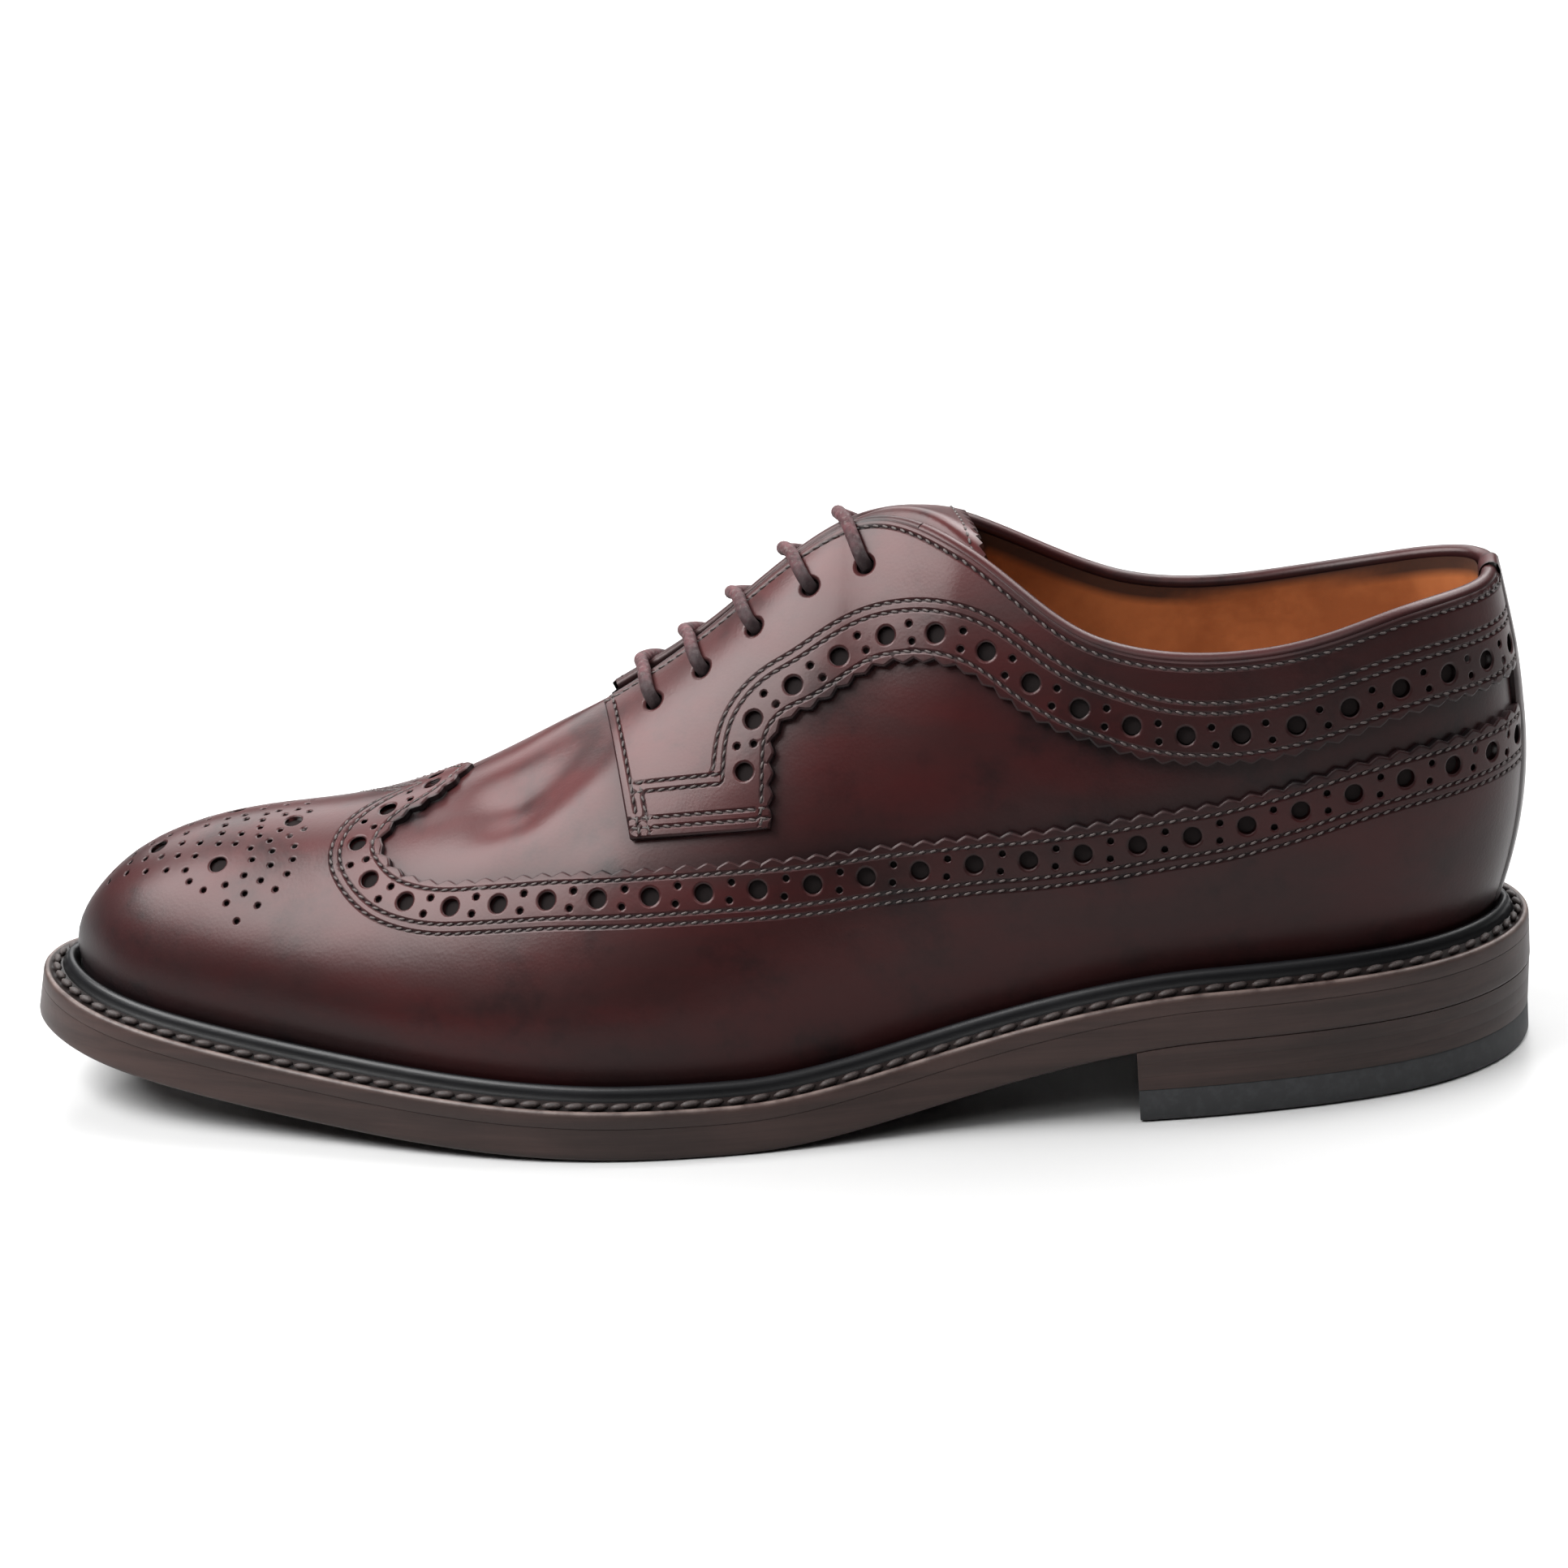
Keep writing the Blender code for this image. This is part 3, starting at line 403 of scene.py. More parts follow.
class ShoeSizes(PropertyGroup):
    """Sizes of the details that the leather and the bottom carry."""

    hole_radius: FloatProperty(
        name="Large hole", description="Radius of the broguing's large holes",
        default=1.85 * MM, unit="LENGTH")
    small_hole_radius: FloatProperty(
        name="Small hole", description="Radius of the broguing's small holes",
        default=0.68 * MM, unit="LENGTH")
    medallion_hole_radius: FloatProperty(
        name="Medallion hole", description="Radius of the toe's small holes",
        default=0.56 * MM, unit="LENGTH")
    hole_pitch: FloatProperty(
        name="Hole pitch", description="Distance between large holes along a row",
        default=10.8 * MM, unit="LENGTH")
    hole_inset: FloatProperty(
        name="Hole inset", description="Distance of the row of holes from the pinked edge",
        default=5.5 * MM, unit="LENGTH")
    tooth_pitch: FloatProperty(
        name="Tooth pitch", description="Width of one tooth of the pinked edges",
        default=4.3 * MM, unit="LENGTH")
    tooth_depth: FloatProperty(
        name="Tooth depth", description="Depth of one tooth of the pinked edges",
        default=1.0 * MM, unit="LENGTH")
    stitch_pitch: FloatProperty(
        name="Stitch pitch", description="Distance between stitches of the upper",
        default=2.25 * MM, unit="LENGTH")
    stitch_length: FloatProperty(
        name="Stitch length", description="Length of thread that one stitch shows",
        default=1.75 * MM, unit="LENGTH")
    thread_thick: FloatProperty(
        name="Thread", description="Thickness of the upper's thread",
        default=0.58 * MM, unit="LENGTH")
    welt_stitch_pitch: FloatProperty(
        name="Welt stitch pitch", description="Distance between stitches of the welt",
        default=4.6 * MM, unit="LENGTH")
    lace_radius: FloatProperty(
        name="Lace", description="Radius of the round lace",
        default=1.38 * MM, unit="LENGTH")
    binding_radius: FloatProperty(
        name="Collar binding", description="Radius of the rolled edge of the collar",
        default=1.65 * MM, unit="LENGTH")


class ShoeColours(PropertyGroup):
    """Colours of the leathers, threads and rubber."""

    red: FloatVectorProperty(
        name="Leather, red", description="Upper where the polish is thin",
        default=(0.046, 0.0095, 0.0098), subtype="COLOR")
    brown: FloatVectorProperty(
        name="Leather, brown", description="Upper where the polish is thick",
        default=(0.022, 0.0085, 0.0085), subtype="COLOR")
    # Colour of the darkest leather: dark seams and edges, and painted shade in grooves, holes, hollows and
    # under edges.
    burnish_and_shade: FloatVectorProperty(
        name="Burnish", description="Nearly black wax along edges and seams",
        default=(0.006, 0.004, 0.0045), subtype="COLOR")
    welt: FloatVectorProperty(
        name="Welt", description="Storm welt's black",
        default=(0.006, 0.006, 0.007), subtype="COLOR")
    rim: FloatVectorProperty(
        name="Rim", description="Stitched rim of the welt",
        default=(0.026, 0.0135, 0.0115), subtype="COLOR")
    edge: FloatVectorProperty(
        name="Sole edge", description="Dyed edge of the sole and heel",
        default=(0.026, 0.0145, 0.0125), subtype="COLOR")
    rubber: FloatVectorProperty(
        name="Heel rubber", description="Top piece of the heel",
        default=(0.017, 0.0175, 0.019), subtype="COLOR")
    lining: FloatVectorProperty(
        name="Lining", description="Tan leather lining",
        default=(0.4, 0.135, 0.043), subtype="COLOR")
    thread: FloatVectorProperty(
        name="Thread", description="Thread of the upper",
        default=(0.064, 0.047, 0.044), subtype="COLOR")
    welt_thread: FloatVectorProperty(
        name="Welt thread", description="Waxed thread of the welt",
        default=(0.034, 0.022, 0.02), subtype="COLOR")
    lace: FloatVectorProperty(
        name="Lace", description="Waxed cotton lace",
        default=(0.036, 0.0105, 0.0125), subtype="COLOR")


def column(table, columns, name):
    values = np.array([row[columns.index(name)] for row in table], float)
    return np.radians(values) if name in ANGLES else values * MM


def way_at(along):
    """The way from the heel's back, 0, to the toe's tip, 1."""
    return np.arccos(np.clip(1 - 2 * np.asarray(along, float) / LENGTH, -1, 1)) / math.pi


def along_at(way):
    return LENGTH * (1 - np.cos(math.pi * np.asarray(way, float))) / 2


def smooth_curve(places, values, level_start=False):
    """A natural cubic spline, level at its start where asked."""
    count = len(places)
    steps = np.diff(places)
    slopes = np.diff(values) / steps
    matrix = np.eye(count)
    right = np.zeros(count)
    for i in range(1, count - 1):
        matrix[i, i - 1 : i + 2] = steps[i - 1], 2 * (steps[i - 1] + steps[i]), steps[i]
        right[i] = 6 * (slopes[i] - slopes[i - 1])
    if level_start:
        matrix[0, :2] = 2 * steps[0], steps[0]
        right[0] = 6 * slopes[0]
    bends = np.linalg.solve(matrix, right)

    def curve(place):
        place = np.asarray(place, float)
        i = np.clip(np.searchsorted(places, place, side="right") - 1, 0, count - 2)
        before = places[i + 1] - place
        after = place - places[i]
        step = steps[i]
        cubic = (bends[i] * before**3 + bends[i + 1] * after**3) / (6 * step)
        start = (values[i] / step - bends[i] * step / 6) * before
        return cubic + start + (values[i + 1] / step - bends[i + 1] * step / 6) * after

    return curve


def steady_curve(places, values):
    """A cubic that never swings past its points."""
    steps = np.diff(places)
    slopes = np.diff(values) / steps
    tangents = np.zeros(len(places))
    tangents[0] = slopes[0]
    tangents[-1] = slopes[-1]
    for i in range(1, len(places) - 1):
        if slopes[i - 1] * slopes[i] > 0:
            tangents[i] = 2 / (1 / slopes[i - 1] + 1 / slopes[i])

    def curve(place):
        place = np.asarray(place, float)
        i = np.clip(np.searchsorted(places, place, side="right") - 1, 0, len(places) - 2)
        step = steps[i]
        t = np.clip((place - places[i]) / step, 0, 1)
        ends = values[i] * (1 + 2 * t) * (1 - t) ** 2 + values[i + 1] * t * t * (3 - 2 * t)
        return ends + step * (tangents[i] * t * (1 - t) ** 2 + tangents[i + 1] * t * t * (t - 1))

    return curve


def table_curve(table, columns):
    return steady_curve(column(table, columns, columns[0]), column(table, columns, columns[1]))


OUTLINE_WAY = way_at(column(OUTLINE, OUTLINE_COLUMNS, "along"))
RIM_Y = [smooth_curve(OUTLINE_WAY, column(OUTLINE, OUTLINE_COLUMNS, name)) for name in OUTLINE_COLUMNS[1:]]
LAST_WAY = way_at(column(LAST, LAST_COLUMNS, "along"))


def last_curve(name):
    values = column(LAST, LAST_COLUMNS, name)
    if name in STEADY:
        return steady_curve(LAST_WAY, values)
    return smooth_curve(LAST_WAY, values, level_start=name != "crest_y")


LAST_CURVES = {name: last_curve(name) for name in LAST_COLUMNS[1:]}
WING_RISE = table_curve(WING_EDGE, RISE_COLUMNS)
WING_DROP = table_curve(WING_POINT, DROP_COLUMNS)
QUARTER_DROP = table_curve(QUARTER_EDGE, DROP_COLUMNS)
TONGUE_DROP = table_curve(TONGUE, DROP_COLUMNS)
MEDALLION_DROP = table_curve(MEDALLION_AXIS, DROP_COLUMNS)


def unit(vectors):
    """The same directions with a length of 1."""
    return vectors / np.linalg.norm(vectors, axis=-1, keepdims=True)


def rim_point(side, way):
    return np.stack([LENGTH / 2 - along_at(way), RIM_Y[side](way)], -1)


def rim_normal(side, way):
    way = np.clip(way, STEP, 1 - STEP)
    tangent = rim_point(side, way + STEP) - rim_point(side, way - STEP)
    normal = unit(np.stack([-tangent[..., 1], tangent[..., 0]], -1))
    if side == MEDIAL:
        normal = -normal
    ends = ((way <= STEP) | (way >= 1 - STEP))[..., None]
    return np.where(ends, np.sign(normal) * np.array([1, 0]), normal)


def ground(along):
    """Height of the sole's underside: seat, arch, flat tread and toe spring."""
    arch = np.clip((ARCH_FRONT - along) / (ARCH_FRONT - ARCH_BACK), 0, 1)
    toe = np.clip((along - TOE_START) / (LENGTH - TOE_START), 0, None)
    return SEAT_HEIGHT * arch * arch * (3 - 2 * arch) + TOE_SPRING * toe * toe


def bottom_point(side, way, inset, height):
    """A point this far in from the sole's outline and this high above its underside, square to it."""
    plan = rim_point(side, way) - rim_normal(side, way) * np.asarray(inset)[..., None]
    along = LENGTH / 2 - plan[..., 0]
    slope = (ground(along + SLOPE_STEP) - ground(along - SLOPE_STEP)) / (2 * SLOPE_STEP)
    square = 1 / np.sqrt(1 + slope * slope)
    x = plan[..., 0] + height * slope * square
    return np.stack([x, plan[..., 1], ground(along) + height * square], -1)


def rim_width(way):
    """How far the feather line lies inside the sole's outline."""
    way = np.asarray(way, float)
    end = np.where(way < 0.5, RIM_HEEL, RIM_TOE)
    return RIM_SIDE + (end - RIM_SIDE) * (1 - np.sin(math.pi * way)) ** 2


def crest(side, way):
    """The top of one side's wall."""
    sign = -1 if side == LATERAL else 1
    y = LAST_CURVES["crest_y"](way) + sign * LAST_CURVES["crest_half"](way)
    z = LAST_CURVES["crest_z"](way) - sign * LAST_CURVES["tilt"](way)
    return np.stack([LENGTH / 2 - LAST_CURVES["crest_along"](way), y, z], -1)


def aimed(plan, angle, length):
    """A step of this length, raised by an angle from its direction in plan."""
    flat, rise = np.cos(angle) * length, np.sin(angle) * length
    return np.concatenate([plan * flat[..., None], rise[..., None]], -1)


def last_point(side, way, share):
    """A point of the last: share goes from 0 at the feather line to 1 at the crest."""
    way, share = np.broadcast_arrays(np.asarray(way, float), np.asarray(share, float))
    foot = bottom_point(side, way, rim_width(way), WELT_TOP + FEATHER_GAP)
    top = crest(side, way)
    lean, low, slope, high = [LAST_CURVES[f"{name}_{side}"](way) for name in ("lean", "low", "slope", "high")]
    outward = rim_normal(side, way)
    turn = np.clip((along_at(way) - TURN_BACK) / (TURN_FRONT - TURN_BACK), 0, 1)
    turn = (turn * turn * (3 - 2 * turn))[..., None]
    across = unit(outward * (1 - turn) + np.array([0, -1 if side == LATERAL else 1]) * turn)
    foot_aim = foot + aimed(outward, lean, low)
    top_aim = top + aimed(across, -slope, high)
    v = share[..., None]
    return foot * (1 - v) ** 3 + 3 * foot_aim * v * (1 - v) ** 2 + 3 * top_aim * v * v * (1 - v) + top * v**3


def last_slopes(side, way, share):
    """How a point moves with its way and with its share."""
    way = np.clip(way, STEP, 1 - 2 * STEP)
    share = np.clip(share, STEP, 1 - STEP)
    by_way = (last_point(side, way + STEP, share) - last_point(side, way - STEP, share)) / (2 * STEP)
    by_share = (last_point(side, way, share + STEP) - last_point(side, way, share - STEP)) / (2 * STEP)
    return by_way, by_share


def side_normal(side, way, share):
    by_way, by_share = last_slopes(side, way, share)
    normal = np.cross(by_share, by_way) if side == LATERAL else np.cross(by_way, by_share)
    return unit(normal)


def last_normal(side, way, share):
    """Square to the last and outwards. On the ridge the two sides share one direction."""
    way, share = np.broadcast_arrays(np.asarray(way, float), np.asarray(share, float))
    normal = side_normal(side, way, share)
    ends = (way < SEAM_WITHIN) | (way > 1 - SEAM_WITHIN)
    seam = ends | (share > 1 - SEAM_WITHIN) & (along_at(way) > THROAT)
    if seam.any():
        both = unit(normal + side_normal(1 - side, way, share))
        normal = np.where(seam[..., None], both, normal)
    return normal


def on_last(side, way, share, height=0.0):
    return last_point(side, way, share) + last_normal(side, way, share) * np.asarray(height)[..., None]


def wall_lengths(side, ways):
    """Shares, and for each way the wall's length up to each of them."""
    shares = np.linspace(0, 1, RISE_SAMPLES)
    points = last_point(side, np.asarray(ways, float)[..., None], shares)
    steps = np.linalg.norm(np.diff(points, axis=-2), axis=-1)
    return shares, np.concatenate([np.zeros(steps.shape[:-1] + (1,)), np.cumsum(steps, axis=-1)], -1)


def share_at_rise(side, ways, rises):
    """The share at a distance up the wall from the feather line."""
    ways, rises = np.broadcast_arrays(np.asarray(ways, float), np.asarray(rises, float))
    shares, lengths = wall_lengths(side, ways.ravel())
    found = [np.interp(rise, row, shares) for rise, row in zip(rises.ravel(), lengths)]
    return np.array(found).reshape(ways.shape)


def share_at_drop(side, ways, drops):
    """The share at a distance down the wall from the crest."""
    ways, drops = np.broadcast_arrays(np.asarray(ways, float), np.asarray(drops, float))
    shares, lengths = wall_lengths(side, ways.ravel())
    found = [np.interp(row[-1] - drop, row, shares) for drop, row in zip(drops.ravel(), lengths)]
    return np.array(found).reshape(ways.shape)


def slide(side, way, share, move):
    """The way and share of points moved over the last by short vectors."""
    a, b = last_slopes(side, way, share)
    aa, ab, bb = (a * a).sum(-1), (a * b).sum(-1), (b * b).sum(-1)
    am, bm = (a * move).sum(-1), (b * move).sum(-1)
    spread = aa * bb - ab * ab
    return way + (am * bb - bm * ab) / spread, share + (bm * aa - am * ab) / spread


def distance_along(points):
    """How far each point of a line lies from its first one."""
    return np.concatenate([[0], np.cumsum(np.linalg.norm(np.diff(points, axis=0), axis=1))])


def nearest_distances(places, points):
    """How far each place lies from the nearest of the points."""
    tree = KDTree(len(points))
    for number, point in enumerate(points):
        tree.insert(point, number)
    tree.balance()
    return np.array([tree.find(place)[2] for place in places])


class Trace:
    """A line on one side of the last, kept as ways and shares and walked by its length.

    Its piece lies below a line that runs towards the toe, or above it where turned is -1.
    """

    def __init__(self, side, ways, shares, soften=0.0, turned=1):
        self.side = side
        self.turned = turned
        ways = np.asarray(ways, float)
        shares = np.asarray(shares, float)
        run = distance_along(last_point(side, ways, shares))
        even = np.linspace(0, run[-1], max(3, int(run[-1] / TRACE_STEP)))
        self.ways = np.interp(even, run, ways)
        self.shares = np.interp(even, run, shares)
        if soften:
            reach = int(3 * soften / TRACE_STEP)
            weights = np.exp(-0.5 * (np.arange(-reach, reach + 1) * TRACE_STEP / soften) ** 2)
            weights /= weights.sum()
            self.ways = self.softened(self.ways, weights)
            self.shares = self.softened(self.shares, weights)
        self.run = distance_along(last_point(side, self.ways, self.shares))

    @staticmethod
    def softened(values, weights):
        """A weighted average along the line, which keeps both of its ends where they are."""
        reach = len(weights) // 2
        before = 2 * values[0] - values[reach:0:-1]
        after = 2 * values[-1] - values[-2 : -reach - 2 : -1]
        return np.convolve(np.concatenate([before, values, after]), weights, mode="valid")

    @property
    def length(self):
        return self.run[-1]

    def at(self, run):
        return np.interp(run, self.run, self.ways), np.interp(run, self.run, self.shares)

    def headings(self, run):
        """Directions along the line, and across it towards the inside of its piece."""
        way, share = self.at(run)
        ahead = last_point(self.side, *self.at(np.minimum(run + TRACE_STEP, self.length)))
        behind = last_point(self.side, *self.at(np.maximum(run - TRACE_STEP, 0)))
        heading = unit(ahead - behind)
        inward = np.cross(side_normal(self.side, way, share), heading) * self.turned
        return heading, inward if self.side == LATERAL else -inward

    def beside(self, run, inward):
        """Ways and shares of points this far inwards of the line."""
        way, share = self.at(run)
        across = self.headings(run)[1]
        inward = np.broadcast_to(inward, np.shape(run))
        for _ in range(MOVE_STEPS):
            way, share = slide(self.side, way, share, across * (inward / MOVE_STEPS)[..., None])
        return way, share

    def moved(self, inward, soften=0.0):
        """The whole line moved inwards, and cut off where it would cross the ridge."""
        way, share = self.beside(self.run, inward)
        kept = share < 1
        return Trace(self.side, way[kept], share[kept], soften, self.turned)

    def evenly(self, pitch):
        return np.linspace(0, self.length, max(2, round(self.length / pitch) + 1))


def inside(loop, points):
    """Whether each point of a plane lies inside a closed loop."""
    x, y = points[:, 0], points[:, 1]
    result = np.zeros(len(points), bool)
    for (ax, ay), (bx, by) in zip(loop, np.roll(loop, -1, axis=0)):
        if ay != by:
            result ^= ((ay > y) != (by > y)) & (x < (bx - ax) * (y - ay) / (by - ay) + ax)
    return result


class Sheet:
    """Leather over one side of the last, triangulated between its outline, its holes' rings and its grooves.

    Each point has a height above the last, a darkness that holds staining and painted shade, 1 where it goes
    black, and a mark in holes.
    """

    def __init__(self, side, top):
        self.side = side
        self.top = top
        self.columns = []
        self.edges = []
        self.walls = []
        self.count = 0

    def add(self, ways, shares, heights, stains_and_shade, closed=None, holes=0.0):
        """Adds points and gives their numbers; closed says whether a line that keeps its edges is a loop."""
        size = len(ways)
        values = [np.broadcast_to(value, size) for value in (heights, stains_and_shade, holes)]
        self.columns.append(np.column_stack([ways, shares, *values]))
        numbers = np.arange(self.count, self.count + size)
        self.count += size
        if closed is not None:
            following = np.roll(numbers, -1) if closed else numbers[1:]
            self.edges += list(zip(numbers.tolist(), following.tolist()))
        return numbers

    def pits(self, ways, shares, radius, depth, sides, rim):
        """Punched holes with rounded rims, darkened towards their middles and with near-black floors as
        painted shade.
        """
        turns = np.arange(sides) * 2 * math.pi / sides
        ways, shares = np.asarray(ways, float), np.asarray(shares, float)
        normal = side_normal(self.side, ways, shares)
        level = unit(np.cross(normal, (0, 0, 1.0)))
        upright = np.cross(level, normal)
        moves = [slide(self.side, ways, shares, direction * MM) for direction in (level, upright)]
        (level_way, level_share), (up_way, up_share) = [(way - ways, share - shares) for way, share in moves]
        rings = (
            # reach from the centre, fall, darkness, which rises into the hole as painted shade, mark of a
            # hole, whether its edges are kept as a loop
            (radius + rim, 0, 0.05, 0, None), (radius + 0.45 * rim, 0.12 * rim, 0.2, 0, None),
            (radius, 0.5 * rim, 0.6, 0.25, True), (radius - 0.12 * MM, depth, 1.0, 1, True),
            (0.4 * radius, depth, 1.0, 1, None),
        )
        for k in range(len(ways)):
            for reach, fall, stain_and_shade, hole, closed in rings:
                right, up = np.cos(turns) * reach / MM, np.sin(turns) * reach / MM
                ring_ways = ways[k] + right * level_way[k] + up * up_way[k]
                ring_shares = shares[k] + right * level_share[k] + up * up_share[k]
                self.add(ring_ways, ring_shares, self.top - fall, stain_and_shade, closed, hole)

    def groove(self, trace):
        """A shallow channel that a row of stitches pulls into the leather, painted dark along its middle as
        shade.
        """
        run = trace.evenly(GROOVE_STEP)
        for inward, fall, stain_and_shade in ((0, GROOVE_DEPTH, 0.95), (GROOVE_HALF, 0, 0.1), (-GROOVE_HALF, 0, 0.1)):
            ways, shares = trace.beside(run, inward)
            kept = shares < NEAR_RIDGE
            self.add(ways[kept], shares[kept], self.top - fall, stain_and_shade)

    def lip(self, ways, shares):
        """The line where an edge's rounding reaches the top, darkened as painted shade."""
        kept = shares < NEAR_RIDGE
        self.add(ways[kept], shares[kept], self.top, LIP_SHADE)

    def chart(self, table):
        """Ways and shares as a flat map of about the wall's size."""
        return table[:, :2] * np.array([CHART_SPAN, CHART_RISE])

    def places(self, table):
        return last_point(self.side, table[:, 0], table[:, 1])

    def close(self, outline):
        """Takes the outline as (ways, shares, free edge) stretches, fills the sheet in and gives its mesh."""
        loop = []
        for ways, shares, free in outline:
            # Free edges are painted dark: their dye, with painted shade.
            fall, stain_and_shade = (EDGE_FALL, EDGE_DYE_AND_SHADE) if free else (0, 0)
            numbers = self.add(ways, shares, self.top - fall, stain_and_shade)
            if free:
                self.walls.append(numbers)
            loop += numbers.tolist()
        points = np.concatenate(self.columns)
        grid = self.grid(points)
        grid = grid[inside(self.chart(points)[loop], self.chart(grid))]
        grid = grid[nearest_distances(self.places(grid), self.places(points)) > SPACING_KEPT * SPACING]
        self.add(grid[:, 0], grid[:, 1], self.top, 0)
        return self.mesh(np.concatenate(self.columns), loop)

    def grid(self, points):
        """Ways and shares in rows about a spacing apart, over all that the points span."""
        low, high = points[:, 0].min(), points[:, 0].max()
        trial = np.linspace(low, high, 200)
        shares = np.linspace(0.05, 0.95, 9)
        lines = last_point(self.side, trial[:, None], shares)
        steps = np.linalg.norm(np.diff(lines, axis=0), axis=-1).max(axis=1)
        run = np.concatenate([[0], np.cumsum(steps)])
        ways = np.interp(np.arange(SPACING / 2, run[-1], SPACING), run, trial)
        tallest = wall_lengths(self.side, ways)[1][:, -1].max()
        rows = np.linspace(0, 1, int(tallest / SPACING) + 2)[1:-1]
        way, share = np.meshgrid(ways, rows)
        return np.column_stack([way.ravel(), share.ravel()])

    def mesh(self, points, loop):
        """Triangles between the points, with a wall down to the last along each free edge."""
        flat = [Vector(place) for place in self.chart(points)]
        _, _, faces, sources, _, _ = delaunay_2d_cdt(flat, self.edges, [loop], 2, CHART_WITHIN)
        first = np.array([source[0] if source else -1 for source in sources])
        if (first < 0).any():
            raise RuntimeError("two lines of a sheet cross, so a corner of its triangles is on neither")
        where = {number: k for k, source in enumerate(sources) for number in source}
        kept = points[first]
        heights = kept[:, 2]
        body = on_last(self.side, kept[:, 0], kept[:, 1], heights)
        plain = heights > self.top - LEVEL_WITHIN
        level = last_normal(self.side, kept[:, 0], kept[:, 1]) * plain[:, None]
        marks = np.column_stack([kept[:, 3:5], level])
        triangles = [face[::-1] if self.side == LATERAL else face for face in faces]
        for wall in self.walls:
            numbers = [where[number] for number in wall]
            lower = on_last(self.side, kept[numbers, 0], kept[numbers, 1])
            start = len(body)
            body = np.concatenate([body, lower])
            # The walls under free edges are painted black: dyed cut edges, with painted shade under them.
            marks = np.concatenate([marks, np.tile((1.0, 0, 0, 0, 0), (len(lower), 1))])
            for i in range(len(numbers) - 1):
                quad = [numbers[i], numbers[i + 1], start + i + 1, start + i]
                triangles.append(quad[::-1] if self.side == LATERAL else quad)
        return body, triangles, marks


def crease_height(side, ways, shares):
    """Soft troughs, and ridges where the depth is negative, where the vamp bends in wear."""
    places = last_point(side, ways, shares)
    total = np.zeros(len(places))
    for crease_side, points, width, depth in CREASES:
        if crease_side != side:
            continue
        along = np.array(points, float) * MM
        line_ways = way_at(along[:, 0])
        line = last_point(side, line_ways, share_at_drop(side, line_ways, along[:, 1]))
        nearest = np.full(len(places), np.inf)
        for a, b in zip(line[:-1], line[1:]):
            t = np.clip(((places - a) @ (b - a)) / ((b - a) @ (b - a)), 0, 1)
            nearest = np.minimum(nearest, np.linalg.norm(a + t[:, None] * (b - a) - places, axis=1))
        total -= depth * MM * np.exp(-((nearest / (width * MM)) ** 2))
    return total


def join(*meshes):
    """Several (points, faces, marks) as one."""
    points, faces, marks = [], [], []
    count = 0
    for some, made, marked in meshes:
        points.append(some)
        marks.append(marked)
        faces += [[n + count for n in face] for face in made]
        count += len(some)
    return np.concatenate(points), faces, np.concatenate(marks)


def piece(name, points, faces, material, attributes, weld=0.0):
    """A finished object at the origin, smooth but for its sharp edges.

    An attribute called level holds directions square to the last, which shade the faces that follow the last.
    """
    mesh = bpy.data.meshes.new(name)
    mesh.from_pydata([tuple(p) for p in points], [], [tuple(face) for face in faces])
    for key, values in attributes.items():
        values = np.asarray(values, np.float32)
        if values.ndim == 2:
            mesh.attributes.new(key, "FLOAT_VECTOR", "POINT").data.foreach_set("vector", values.ravel())
        else:
            mesh.attributes.new(key, "FLOAT", "POINT").data.foreach_set("value", values)
    if weld:
        made = bmesh.new()
        made.from_mesh(mesh)
        bmesh.ops.remove_doubles(made, verts=made.verts, dist=weld)
        bmesh.ops.dissolve_degenerate(made, edges=made.edges, dist=SLIVER)
        made.to_mesh(mesh)
        made.free()
    mesh.validate()
    mesh.shade_smooth()
    mesh.set_sharp_from_angle(angle=SHARP_EDGE)
    if "level" in mesh.attributes:
        shade_by_last(mesh)
    mesh.materials.append(material)
    obj = bpy.data.objects.new(name, mesh)
    bpy.context.scene.collection.objects.link(obj)
    return obj


def shade_by_last(mesh):
    """Gives the faces whose corners all follow the last its own directions, for smooth highlights."""
    level = np.zeros(len(mesh.vertices) * 3, np.float32)
    mesh.attributes["level"].data.foreach_get("vector", level)
    level = level.reshape(-1, 3)
    follows = np.linalg.norm(level, axis=1) > 0.5
    corners = np.zeros((len(mesh.loops), 3), np.float32)
    for face in mesh.polygons:
        numbers = list(face.vertices)
        if follows[numbers].all():
            corners[face.loop_start : face.loop_start + face.loop_total] = level[numbers]
    mesh.normals_split_custom_set(corners.tolist())
    mesh.attributes.remove(mesh.attributes["level"])


def settle(obj, slot, *nodes):
    """Ties a finished piece to the shoe's body and hides the CAD nodes that it stands for; the material slot
    is not used.
    """
    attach(obj, "root")
    if nodes:
        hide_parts(*nodes)
    return obj


def grid_faces(rows, turned=False, closed=False):
    """Quads between rows of point numbers."""
    faces = []
    for low, high in zip(rows[:-1], rows[1:]):
        count = len(low)
        for i in range(count if closed else count - 1):
            j = (i + 1) % count
            quad = (low[i], low[j], high[j], high[i])
            faces.append(quad[::-1] if turned else quad)
    return faces


def lattice(points, across, turned, stains_and_shade):
    """Quads over points that lie in rows of this many, as (points, faces, stains)."""
    numbers = np.arange(len(points)).reshape(-1, across)
    return points, grid_faces(numbers.tolist(), turned), stains_and_shade


